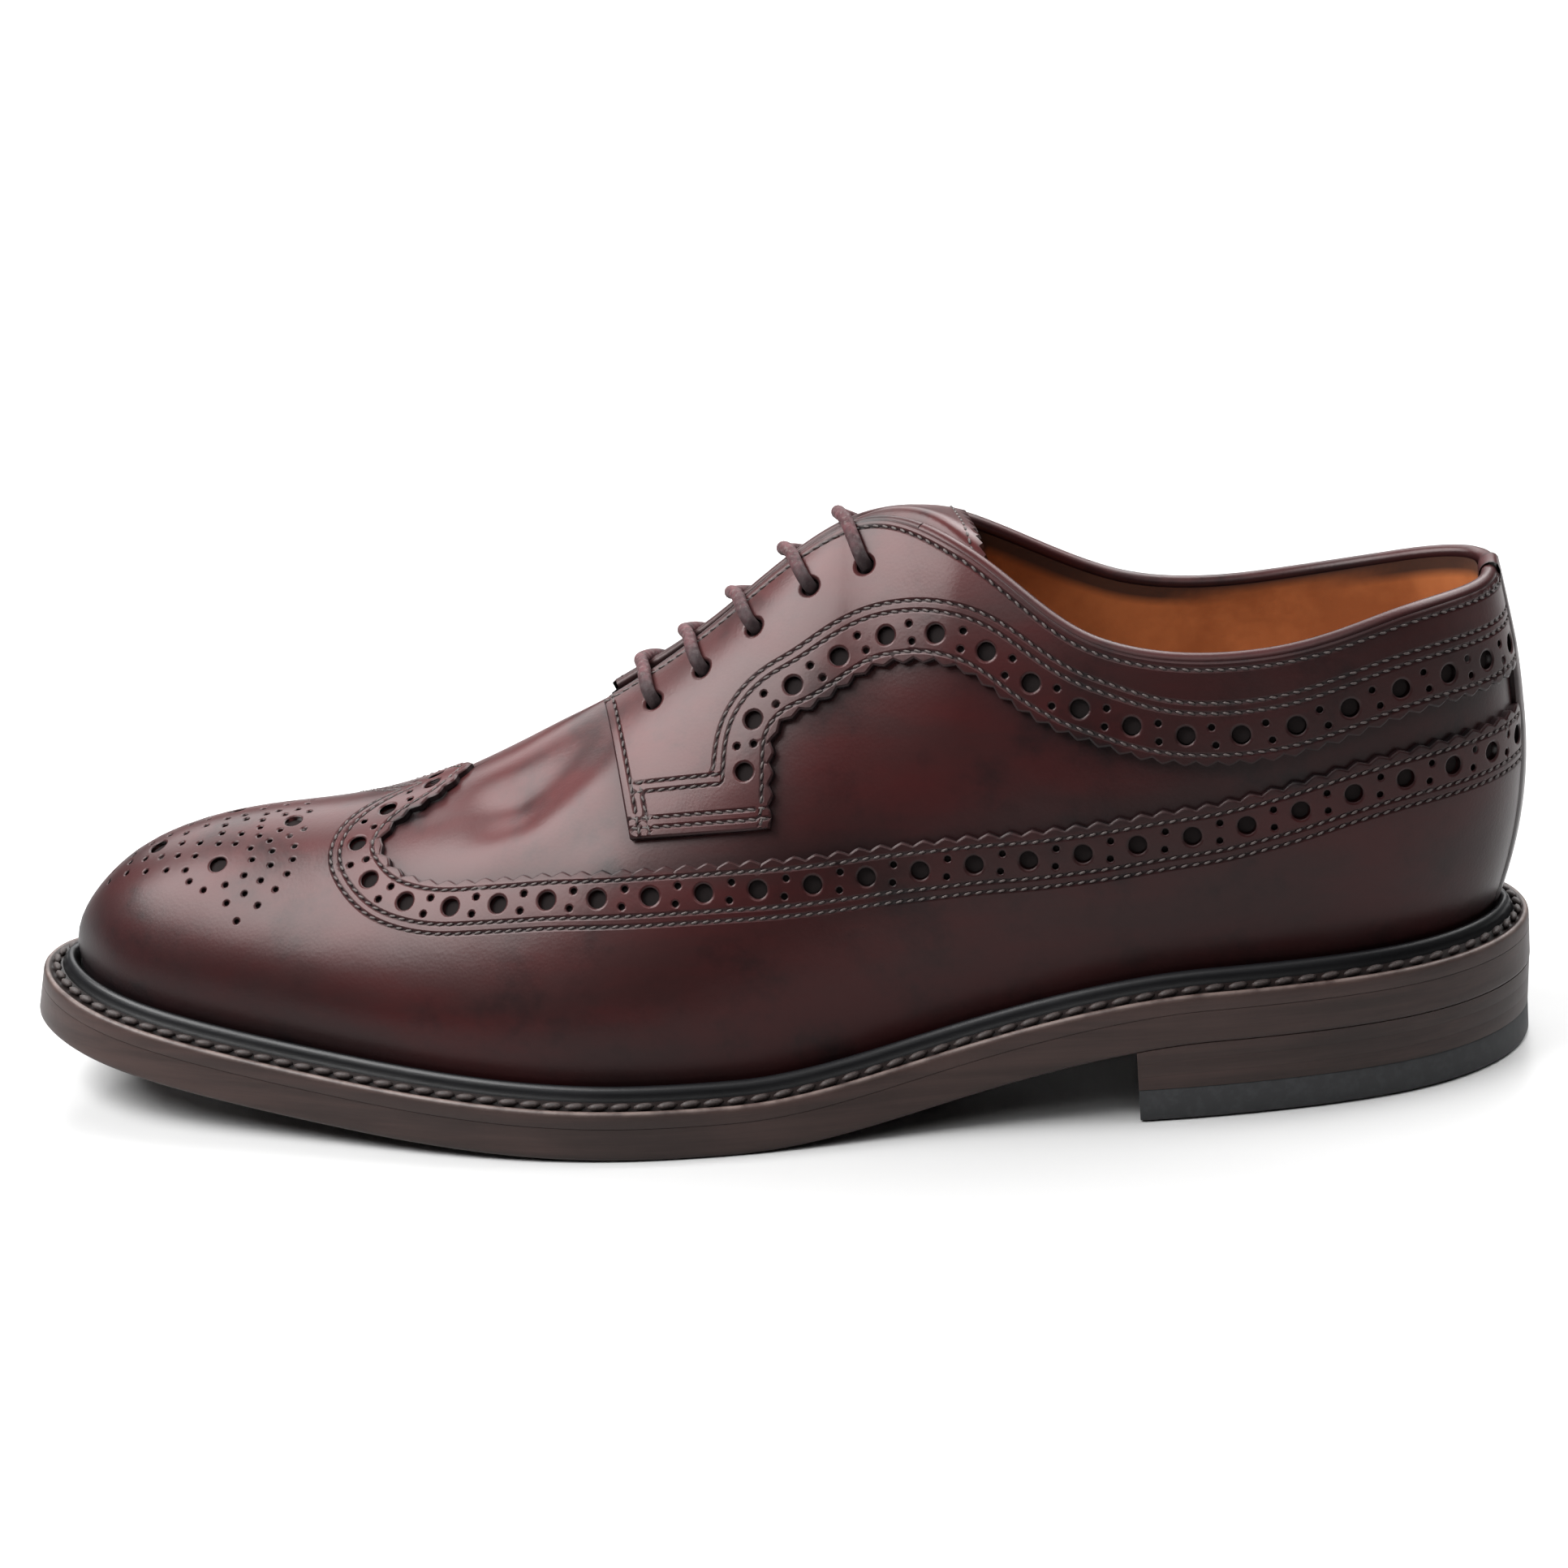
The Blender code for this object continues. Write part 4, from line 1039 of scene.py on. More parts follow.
class Value:
    """A shader socket that takes part in sums: each operator adds a Math node."""

    def __init__(self, finish, socket):
        self.finish = finish
        self.socket = socket

    def math(self, operation, *values):
        node = self.finish.node("ShaderNodeMath", {"operation": operation}, dict(enumerate(values)))
        return Value(self.finish, node.outputs[0])

    def __add__(self, other):
        return self.math("ADD", self, other)

    __radd__ = __add__

    def __mul__(self, other):
        return self.math("MULTIPLY", self, other)

    __rmul__ = __mul__

    def clamped(self):
        node = self.finish.node("ShaderNodeClamp", {}, {0: self})
        return Value(self.finish, node.outputs[0])

    def between(self, low, high, start=0.0, end=1.0):
        node = self.finish.node("ShaderNodeMapRange", {"interpolation_type": "SMOOTHSTEP"},
                                {0: self, 1: low, 2: high, 3: start, 4: end})
        return Value(self.finish, node.outputs[0])


class Finish:
    """One procedural material."""

    def __init__(self, name):
        self.material = bpy.data.materials.new(name)
        self.material.use_nodes = True
        self.tree = self.material.node_tree
        self.shader = self.tree.nodes["Principled BSDF"]
        self.place = self.node("ShaderNodeTexCoord").outputs["Object"]

    def node(self, kind, settings=None, inputs=None):
        """Adds a node: its settings first, then the values or links of its sockets."""
        node = self.tree.nodes.new(kind)
        for key, value in (settings or {}).items():
            setattr(node, key, value)
        self.feed(node, inputs or {})
        return node

    def feed(self, node, inputs):
        for key, value in inputs.items():
            socket = node.inputs[key]
            if isinstance(value, Value):
                self.tree.links.new(value.socket, socket)
            elif isinstance(value, bpy.types.NodeSocket):
                self.tree.links.new(value, socket)
            else:
                socket.default_value = value

    def noise(self, scale, detail=3.0, roughness=0.55, stretch=(1, 1, 1), distortion=0.0):
        moved = self.node("ShaderNodeMapping", {}, {"Vector": self.place, "Scale": stretch})
        made = self.node("ShaderNodeTexNoise", {}, {
            "Vector": moved.outputs[0], "Scale": scale, "Detail": detail, "Roughness": roughness,
            "Distortion": distortion})
        return Value(self, made.outputs[0])

    def cells(self, scale):
        made = self.node("ShaderNodeTexVoronoi", {"feature": "F1"}, {"Vector": self.place, "Scale": scale})
        return Value(self, made.outputs[0])

    def attribute(self, name):
        made = self.node("ShaderNodeAttribute", {"attribute_name": name})
        return Value(self, made.outputs["Fac"])

    def mix(self, factor, first, second):
        """A mix of two colours, whose sockets come after a Mix node's sockets for numbers and vectors."""
        inputs = {0: factor, 6: colour(first), 7: colour(second)}
        return self.node("ShaderNodeMix", {"data_type": "RGBA"}, inputs).outputs[2]

    def bump(self, height, distance, strength=1.0, normal=None):
        inputs = {"Height": height, "Distance": distance, "Strength": strength}
        if normal is not None:
            inputs["Normal"] = normal
        return self.node("ShaderNodeBump", {}, inputs).outputs[0]

    def over(self, factor, matt):
        """Lays a matt colour over the shader where the factor is 1."""
        dull = self.node("ShaderNodeBsdfDiffuse", {}, {"Color": colour(matt)})
        shaders = {0: factor, 1: self.shader.outputs[0], 2: dull.outputs[0]}
        both = self.node("ShaderNodeMixShader", {}, shaders)
        self.feed(self.tree.nodes["Material Output"], {"Surface": both.outputs[0]})
        return self.material

    def set(self, **inputs):
        self.feed(self.shader, {key.replace("_", " "): value for key, value in inputs.items()})
        return self.material


def shaded(value, factor):
    """A colour made darker or lighter."""
    return [channel * factor for channel in value]


def colour(value):
    """A colour socket or link as it is, and three numbers as a colour without transparency."""
    if isinstance(value, (Value, bpy.types.NodeSocket)):
        return value
    return (*value, 1)


def polished_leather(colours):
    """Hand-stained calf: red where the polish is thin, brown where it is thick, black by seams and welt, and
    painted lighter where it faces up.
    """
    finish = Finish("polished_leather")
    cloud = finish.noise(24, 4, 0.55, (0.6, 1, 1.3), 0.5)
    streak = finish.noise(80, 4, 0.6, (0.3, 1, 1.7))
    red = (cloud * 0.7 + streak * 0.3).between(0.38, 0.62)
    # Painted light and shade: wall is the darker colour of the sides, top the lighter, redder colour of faces
    # that look up, where the key light falls; they mix by how far each face looks up.
    wall = finish.mix(red, shaded(colours.brown, 0.9), shaded(colours.red, 0.72))
    top = finish.mix(red, shaded(colours.brown, 2.2), shaded(colours.red, 1.35))
    geometry = finish.node("ShaderNodeNewGeometry")
    upward = finish.node("ShaderNodeSeparateXYZ", {}, {0: geometry.outputs["Normal"]})
    base = finish.mix(Value(finish, upward.outputs[2]).between(0.2, 0.75), wall, top)
    # The darkness mark holds staining and painted shade in grooves, holes, hollows and under edges; where it
    # is high the leather turns to the darkest colour.
    stain_and_shade = finish.attribute("stain_and_shade")
    patch = finish.noise(48, 5, 0.65).between(0.48, 0.72) * 0.55
    dark = (stain_and_shade * 0.95 + patch).clamped()
    base = finish.mix(dark, base, colours.burnish_and_shade)
    grain = finish.cells(1500)
    pores = finish.noise(900, 2, 0.5)
    soft = finish.noise(55, 2, 0.5)
    fine = finish.bump(grain * 0.5 + pores * 0.5, 0.00005, 0.45)
    normal = finish.bump(soft, 0.0008, 0.28, fine)
    rough = 0.235 + finish.noise(40, 3, 0.6) * 0.12 + stain_and_shade * 0.12
    finish.set(Base_Color=base, Roughness=rough, Normal=normal,
               Specular_IOR_Level=0.2, Specular_Tint=(1, 0.9, 0.89, 1))
    # Hole floors get a near-black matt colour: painted shade in the holes' depth.
    return finish.over(finish.attribute("hole"), (0.016, 0.013, 0.013))


def tan_lining(colours):
    """Tan leather, paler in places from wear, and black where it is stained."""
    finish = Finish("tan_lining")
    black = finish.attribute("stain_and_shade")
    wear_and_highlight = finish.noise(45, 4, 0.6)
    shade = (0.62, 0.55, 0.5)
    base = finish.mix(wear_and_highlight.between(0.35, 0.7), [c * s for c, s in zip(colours.lining, shade)], colours.lining)
    base = finish.mix(black, base, (0.012, 0.011, 0.012))
    normal = finish.bump(finish.noise(700, 3, 0.6), 0.0001, 0.5)
    return finish.set(Base_Color=base, Roughness=0.62, Normal=normal, Specular_IOR_Level=0.35)


def plain_leather(name, base_colour, rough, streaks, gloss):
    """Dyed leather with streaks along the shoe, black at its joints and, as painted shade, in its hollows,
    with a painted highlight along marked edges.
    """
    finish = Finish(name)
    streak = finish.noise(90, 5, 0.65, (0.12, 0.5, 3.2))
    cloud = finish.noise(30, 3, 0.5)
    base = finish.mix((streak * 0.6 + cloud * 0.4).between(0.36, 0.66),
                      shaded(base_colour, 1 - 0.55 * streaks), shaded(base_colour, 1 + streaks))
    # Painted highlight: a pale line along the rim's rounded top edge, where the key light would glint.
    wear_and_highlight = finish.attribute("wear_and_highlight") * finish.noise(200, 3, 0.6).between(0.25, 0.65)
    base = finish.mix(wear_and_highlight, base, (0.13, 0.095, 0.085))
    base = finish.mix(finish.attribute("stain_and_shade"), base, shaded(base_colour, 0.2))
    normal = finish.bump(streak * 0.6 + finish.noise(600, 3, 0.6) * 0.4, 0.00012, 0.5)
    roughness = rough + finish.noise(60, 3, 0.6) * 0.14
    return finish.set(Base_Color=base, Roughness=roughness, Normal=normal, Specular_IOR_Level=gloss)


def heel_rubber(colours):
    finish = Finish("heel_rubber")
    speck = finish.noise(500, 3, 0.6)
    base = finish.mix(speck.between(0.4, 0.7), colours.rubber, shaded(colours.rubber, 1.5))
    return finish.set(Base_Color=base, Roughness=0.5 + speck * 0.2,
                      Normal=finish.bump(speck, 0.00008, 0.5), Specular_IOR_Level=0.4)


def thread_finish(name, base_colour, rough):
    finish = Finish(name)
    fibre = finish.noise(2600, 2, 0.6)
    base = finish.mix(fibre.between(0.3, 0.7), shaded(base_colour, 0.45), base_colour)
    return finish.set(Base_Color=base, Roughness=rough, Normal=finish.bump(fibre, 0.0001, 0.6))


def lace_finish(colours):
    """Waxed round cotton: fine braid, mottled, with grey waxy bloom in its hollows."""
    finish = Finish("waxed_lace")
    braid = finish.attribute("braid")
    mottle = finish.noise(420, 3, 0.65)
    base = finish.mix(mottle.between(0.35, 0.7), colours.lace, shaded(colours.lace, 2.2))
    base = finish.mix(finish.noise(1300, 2, 0.6).between(0.5, 0.75) * 0.75, base, (0.10, 0.078, 0.075))
    # The darkness mark turns the lace near black: painted shade inside the shoe and where it nears the
    # eyelets.
    base = finish.mix(finish.attribute("stain_and_shade") * 0.85, base, (0.010, 0.006, 0.007))
    normal = finish.bump(braid * 0.6 + mottle * 0.4, 0.0003, 0.8)
    return finish.set(Base_Color=base, Roughness=0.72, Normal=normal, Specular_IOR_Level=0.3)


def open_share(side, ways):
    """The edge of the collar and of the slit."""
    return share_at_drop(side, ways, EDGE_DROP)


def wing_edge(side):
    """The wing's pinked edge, from the heel forwards and up to its point on the ridge."""
    turn, peak = float(way_at(WING_FRONT)), float(way_at(WING_PEAK))
    back = np.linspace(PANEL_START, turn, 200)
    point = peak + (turn - peak) * np.sin(np.linspace(math.pi / 2, 0, 60))[1:]
    shares = np.concatenate([
        share_at_rise(side, back, WING_RISE(along_at(back))),
        share_at_drop(side, point, WING_DROP(along_at(point)))])
    return Trace(side, np.concatenate([back, point]), shares, soften=1.4 * MM)


def quarter_edge(side):
    """The facing's pinked edge, from the heel forwards below the collar and down the back of the tab."""
    corner = float(way_at(TAB_BACK))
    band = np.linspace(PANEL_START, corner, 160)
    low = share_at_rise(side, corner, TAB_RISE)
    shares = share_at_drop(side, band, QUARTER_DROP(along_at(band)))
    down = np.linspace(shares[-1], low, 12)[1:]
    ways = np.concatenate([band, np.full(len(down), corner)])
    return Trace(side, ways, np.concatenate([shares, down]), 1.6 * MM, -1)


def tab_front(side):
    """The tab's leading edge, from its foot up to the throat."""
    height = np.linspace(0, 1, 40)
    foot_way, throat = float(way_at(TAB_FOOT_FRONT)), float(way_at(THROAT))
    ways = foot_way + (throat - foot_way) * height
    low, high = share_at_rise(side, ways, TAB_RISE), open_share(side, ways)
    return Trace(side, ways, low + (high - low) * height, turned=-1)


def tab_foot(side):
    ways = np.linspace(float(way_at(TAB_BACK)), float(way_at(TAB_FOOT_FRONT)), 30)
    return Trace(side, ways, share_at_rise(side, ways, TAB_RISE), turned=-1)


def open_edge(side):
    """The slit and the collar, from the throat back to the heel."""
    ways = np.linspace(float(way_at(THROAT)), PANEL_START, 200)
    return Trace(side, ways, open_share(side, ways), turned=-1)


def pinked(trace, sizes, inward=0.0):
    """Points of a toothed line beside the edge: teeth fade out at both of its ends."""
    count = round(trace.length / sizes.tooth_pitch)
    run = np.linspace(0, trace.length, count * TOOTH_POINTS + 1)
    phase = np.linspace(0, count, count * TOOTH_POINTS + 1) % 1
    tooth = np.abs(2 * phase - 1) ** TOOTH_POWER - 0.5
    ends = np.clip(np.minimum(run, trace.length - run) / TOOTH_FADE, 0, 1)
    return trace.beside(run, tooth * sizes.tooth_depth * ends + inward)


def brogue_row(sheet, edge, sizes, ends):
    """Large holes along a line beside the edge, with a pair of small ones between each two."""
    row = edge.moved(sizes.hole_inset, soften=1.2 * MM)
    first, last = ends[0], row.length - ends[1]
    count = round((last - first) / sizes.hole_pitch)
    places = np.linspace(first, last, count + 1)
    sheet.pits(*row.at(places), sizes.hole_radius, HOLE_DEPTH, HOLE_SIDES, HOLE_RIM)
    between = (places[:-1] + places[1:]) / 2
    for turned in (1, -1):
        pair = row.beside(between + turned * PAIR_LAG, turned * PAIR_OFFSET)
        sheet.pits(*pair, sizes.small_hole_radius, SMALL_HOLE_DEPTH, SMALL_HOLE_SIDES, SMALL_HOLE_RIM)


def wing_rows(side):
    """The wing's stitch rows: one at the pinked edge and two below the holes."""
    edge = wing_edge(side)
    return [edge.moved(WING_EDGE_ROW, 1 * MM), *[edge.moved(inward, 2 * MM) for inward in WING_HOLE_ROWS]]


def facing_rows(side):
    """The facing's stitch rows: at its edge, above its holes, along the opening and on the tab."""
    edge, front, foot = quarter_edge(side), tab_front(side), tab_foot(side)
    rows = [edge.moved(FACING_EDGE_ROW, 1 * MM)]
    for inward in FACING_HOLE_ROWS:
        row = edge.moved(inward, 2.5 * MM)
        kept = share_at_rise(side, row.ways, TAB_RISE + inward) < row.shares
        kept |= along_at(row.ways) < TAB_BACK - FACING_HOLE_ROWS_TURN
        rows.append(Trace(side, row.ways[kept], row.shares[kept], turned=-1))
    rows.append(open_edge(side).moved(OPENING_ROW, 1 * MM))
    rows.append(front.moved(TAB_FRONT_ROW))
    rows += [foot.moved(inward) for inward in TAB_FOOT_ROWS]
    back, ahead = TAB_CROSS_MARGINS
    for rise in TAB_CROSS_ROWS:
        ways = np.linspace(float(way_at(TAB_BACK + back)), float(way_at(TAB_FOOT_FRONT - ahead)), 30)
        rows.append(Trace(side, ways, share_at_rise(side, ways, TAB_RISE + rise)))
    short = front.moved(TAB_FRONT_SHORT_ROW)
    kept = slice(TAB_FRONT_SHORT_POINTS)
    rows.append(Trace(side, short.ways[kept], short.shares[kept]))
    return rows


def seam_darkening(side, points):
    """How much darker the wall is made beside the overlays' edges."""
    lines = [wing_edge(side), quarter_edge(side), tab_foot(side), tab_front(side)]
    edges = np.concatenate([last_point(side, line.ways, line.shares) for line in lines])
    return SEAM_DARKENING * np.exp(-nearest_distances(points, edges) / SEAM_REACH)


def leather_piece(name, material, *parts, weld=0.0):
    """One piece of the upper from its (points, faces, marks), with the darkening that all of them share."""
    points, faces, marks = join(*parts)
    return piece(name, points, faces, material, leather_marks(points, marks), weld)


def build_shell(name, material):
    """Vamp and quarters under the overlays: one wall with soft creases, open at the collar and the throat."""
    throat = float(way_at(THROAT))
    opening = np.linspace(0, throat, SHELL_BACK_STATIONS)
    fronts = np.linspace(throat, 1, SHELL_FRONT_STATIONS)
    stations = np.concatenate([opening, fronts[1:]])
    parts = []
    for side in SIDES:
        turned = side != LATERAL
        top = open_share(side, stations)
        front_top = top[SHELL_BACK_STATIONS - 1 :]
        walls = (
            (stations, np.zeros(len(top)), top, SHELL_ROWS),
            (fronts, front_top, np.ones(len(fronts)), SHELL_RIDGE_ROWS),
        )
        for columns, low, high, rows in walls:
            ways = np.repeat(columns, rows)
            shares = (low[:, None] + (high - low)[:, None] * np.linspace(0, 1, rows)).ravel()
            points = on_last(side, ways, shares, crease_height(side, ways, shares))
            parts.append(lattice(points, rows, turned, seam_darkening(side, points)))
        rim_ways = np.append(opening, throat)
        rim_shares = np.append(top[:SHELL_BACK_STATIONS], 1.0)
        depths = np.linspace(0, SHELL_INSIDE, SHELL_RIM_ROWS)
        rim = np.concatenate([on_last(side, rim_ways, rim_shares, depth) for depth in depths])
        parts.append(lattice(rim, len(rim_ways), turned, np.ones(len(rim))))
    return leather_piece(name, material, *parts, weld=WELD)


def build_wing(name, material, sizes):
    """Toe cap and wings with pinked edge, broguing, stitch channels and the pricked ornament."""
    ridge = 1 - (1 - float(way_at(WING_PEAK))) * np.linspace(0, 1, 56)
    parts = []
    for side in SIDES:
        sheet = Sheet(side, WING_TOP)
        edge = wing_edge(side)
        brogue_row(sheet, edge, sizes, WING_HOLE_ENDS)
        for row in wing_rows(side):
            sheet.groove(row)
        ornament = (
            (MEDALLION_LARGE, sizes.hole_radius, 18),
            (MEDALLION_SMALL, sizes.medallion_hole_radius, 10),
        )
        for table, radius, sides in ornament:
            ways, drops = medallion(side, table, radius + MEDALLION_CLEARANCE)
            shares = share_at_drop(side, ways, drops)
            sheet.pits(ways, shares, radius, MEDALLION_DEPTH, sides, MEDALLION_RIM)
        foot_ways = np.linspace(PANEL_START, 1, 300)
        foot_shares = np.minimum(share_at_rise(side, foot_ways, PANEL_FOOT), PANEL_FOOT_LIMIT)
        tip_shares = np.linspace(foot_shares[-1], 1, 4)[:-1]
        toothed_ways, toothed_shares = pinked(edge, sizes)
        sheet.lip(*pinked(edge, sizes, EDGE_ROUND))
        start_shares = np.linspace(toothed_shares[0], foot_shares[0], 24)[1:-1]
        outline = (
            (foot_ways[:-1], foot_shares[:-1], False),
            (np.ones(len(tip_shares)), tip_shares, False),
            (ridge[:-1], np.ones(len(ridge) - 1), False),
            (toothed_ways[::-1], np.minimum(toothed_shares[::-1], 1), True),
            (np.full(len(start_shares), PANEL_START), start_shares, False),
        )
        parts.append(sheet.close(outline))
    return leather_piece(name, material, *parts, weld=WELD)


def medallion(side, table, least_drop):
    """Ways and drops of the ornament's holes that fall on one side of the ridge."""
    ways, drops = [], []
    for along, offset in table:
        for mirrored in (1, -1) if offset else (1,):
            drop = float(MEDALLION_DROP(along * MM)) + mirrored * offset * MM
            if (drop > 0) == (side == LATERAL):
                ways.append(float(way_at(along * MM)))
                drops.append(max(abs(drop), least_drop))
    return np.array(ways), np.array(drops)


def leather_marks(points, marks):
    """The leather's attributes: darkness, with the darkening by the welt, at the heel's back and over the
    toe, and on sheets hole and level.
    """
    marks = np.asarray(marks, float)
    stains_and_shade = marks if marks.ndim == 1 else marks[:, 0]
    along = LENGTH / 2 - points[:, 0]
    above = np.clip(points[:, 2] - ground(along) - WELT_TOP, 0, None)
    toe = np.exp(-np.clip(LENGTH - along, 0, None) / TOE_DARKENING_REACH)
    heel = np.exp(-np.clip(along, 0, None) / HEEL_DARKENING_REACH)
    # Towards the toe the darkening above the welt reaches higher: painted shade where the key light spills
    # onto the toe's wall.
    low = np.exp(-above / (WELT_DARKENING_REACH + WELT_SHADE_TOE_REACH * toe))
    darkening = WELT_DARKENING * low + HEEL_DARKENING * heel + TOE_DARKENING * toe
    made = {"stain_and_shade": np.clip(stains_and_shade + np.clip(darkening, 0, 1) * (1 - stains_and_shade), 0, 1)}
    if marks.ndim == 2:
        made["hole"] = marks[:, 1]
        made["level"] = marks[:, 2:5]
    return made


def build_facing(side, name, material, sizes):
    """Eyelet facing with its tab and the quarter band below the collar."""
    sheet = Sheet(side, FACING_TOP)
    edge = quarter_edge(side)
    brogue_row(sheet, edge, sizes, FACING_HOLE_ENDS)
    for row in facing_rows(side):
        sheet.groove(row)
    ways = np.array(eyelet_ways())
    eyelet_shares = share_at_drop(side, ways, EYELET_DROP)
    sheet.pits(ways, eyelet_shares, EYELET_RADIUS, EYELET_DEPTH, HOLE_SIDES, EYELET_RIM)
    toothed = pinked(edge, sizes)
    sheet.lip(*pinked(edge, sizes, EDGE_ROUND))
    outline = [(*toothed, True)]
    lines = (tab_foot(side), tab_front(side), open_edge(side))
    for line, step in zip(lines, (EDGE_STEP, EDGE_STEP, OPENING_STEP)):
        sheet.lip(*line.beside(line.evenly(EDGE_STEP)[1:-1], EDGE_ROUND))
        line_ways, line_shares = line.at(line.evenly(step))
        outline.append((line_ways[1:], line_shares[1:], True))
    end_shares = np.linspace(line_shares[-1], toothed[1][0], 16)[1:-1]
    outline.append((np.full(len(end_shares), PANEL_START), end_shares, False))
    return leather_piece(name, material, sheet.close(outline))


def eyelet_ways():
    return [float(way_at(EYELET_FIRST - k * EYELET_PITCH)) for k in range(EYELETS)]


def tube(path, radius, sides):
    """Rings of points along a path."""
    path = np.asarray(path, float)
    ahead = unit(np.gradient(path, axis=0))
    sideways = np.cross(ahead[0], (0.0, 0, 1.0))
    rings = []
    turns = np.arange(sides) * 2 * math.pi / sides
    for place, direction in zip(path, ahead):
        sideways = unit(sideways - direction * (sideways @ direction))
        upward = np.cross(sideways, direction)
        ring = np.cos(turns)[:, None] * sideways + np.sin(turns)[:, None] * upward
        rings.append(place + radius * ring)
    return np.array(rings)


def tube_mesh(rings):
    """A closed skin over rings, with its ends filled."""
    count, sides = rings.shape[:2]
    numbers = np.arange(count * sides).reshape(count, sides)
    faces = grid_faces(numbers.tolist(), True, closed=True)
    faces += [numbers[0].tolist(), numbers[-1][::-1].tolist()]
    return rings.reshape(-1, 3), faces


def even_path(points, step):
    """A smooth line through points, cut into even steps."""
    points = np.asarray(points, float)
    run = distance_along(points)
    dense = np.linspace(0, run[-1], max(4, int(run[-1] / step)))
    return np.stack([smooth_curve(run, points[:, k])(dense) for k in range(3)], -1)


def rim_loop(ways, inset, height):
    """Points right round the shoe: the lateral side from heel to toe, then the medial side back again."""
    insets = np.broadcast_to(inset, ways.shape)
    lateral = bottom_point(LATERAL, ways, insets, height)
    medial = bottom_point(MEDIAL, ways, insets, height)
    ends = (lateral[[0, -1]] + medial[[0, -1]]) / 2
    return np.concatenate([ends[:1], lateral[1:-1], ends[1:], medial[-2:0:-1]])


def cap(loop, last, turned):
    """Quads across a loop, from its first point and from this last one towards each other."""
    count = len(loop)
    faces = []
    for i in range(count // 2):
        quad = [loop[i], loop[i + 1], loop[(last - i - 1) % count], loop[(last - i) % count]]
        quad = [n for k, n in enumerate(quad) if n != quad[k - 1]]
        faces.append(quad[::-1] if turned else quad)
    return faces


def ring_stack(loops, stains_and_shade, closed):
    """Skin through loops of equal length, its ends closed by ladders across or joined to each other."""
    count = len(loops[0])
    numbers = np.arange(len(loops) * count).reshape(len(loops), count).tolist()
    rows = numbers + ([numbers[0]] if closed else [])
    faces = grid_faces(rows, False, closed=True)
    if not closed:
        faces += cap(numbers[0], count, True) + cap(numbers[-1], count, False)
    dark = np.repeat(np.asarray(stains_and_shade, float), count)
    return np.concatenate(loops), faces, dark


class ShoePiece:
    """What the operators share."""

    bl_options = {"REGISTER", "UNDO"}

    @property
    def sizes(self):
        return bpy.context.scene.shoe_sizes

    @property
    def colours(self):
        return bpy.context.scene.shoe_colours

    def finish(self, name, make, *values):
        """A material by its name, made when first asked for."""
        return bpy.data.materials.get(name) or make(*values)

    def leather(self):
        return self.finish("polished_leather", polished_leather, self.colours)

    def thread(self):
        return self.finish("upper_thread", thread_finish, "upper_thread", self.colours.thread, 0.6)


class SHOE_OT_upper(ShoePiece, Operator):
    """Vamp and quarters with soft creases"""

    bl_idname = "shoe.upper"
    bl_label = "Upper"

    def execute(self, context):
        settle(build_shell("vamp_and_quarters", self.leather()), "upper_leather", "upper")
        return {"FINISHED"}


class SHOE_OT_wing(ShoePiece, Operator):
    """Wing with pinked edge, broguing and medallion"""

    bl_idname = "shoe.wing"
    bl_label = "Wing"

    def execute(self, context):
        settle(build_wing("wing_panel", self.leather(), self.sizes), "upper_leather", "wing")
        return {"FINISHED"}


class SHOE_OT_facings(ShoePiece, Operator):
    """Both eyelet facings with their quarter bands"""

    bl_idname = "shoe.facings"
    bl_label = "Facings"

    def execute(self, context):
        for side, node in zip(SIDES, ("facing_lateral", "facing_medial")):
            settle(build_facing(side, f"{node}_panel", self.leather(), self.sizes), "upper_leather", node)
        return {"FINISHED"}


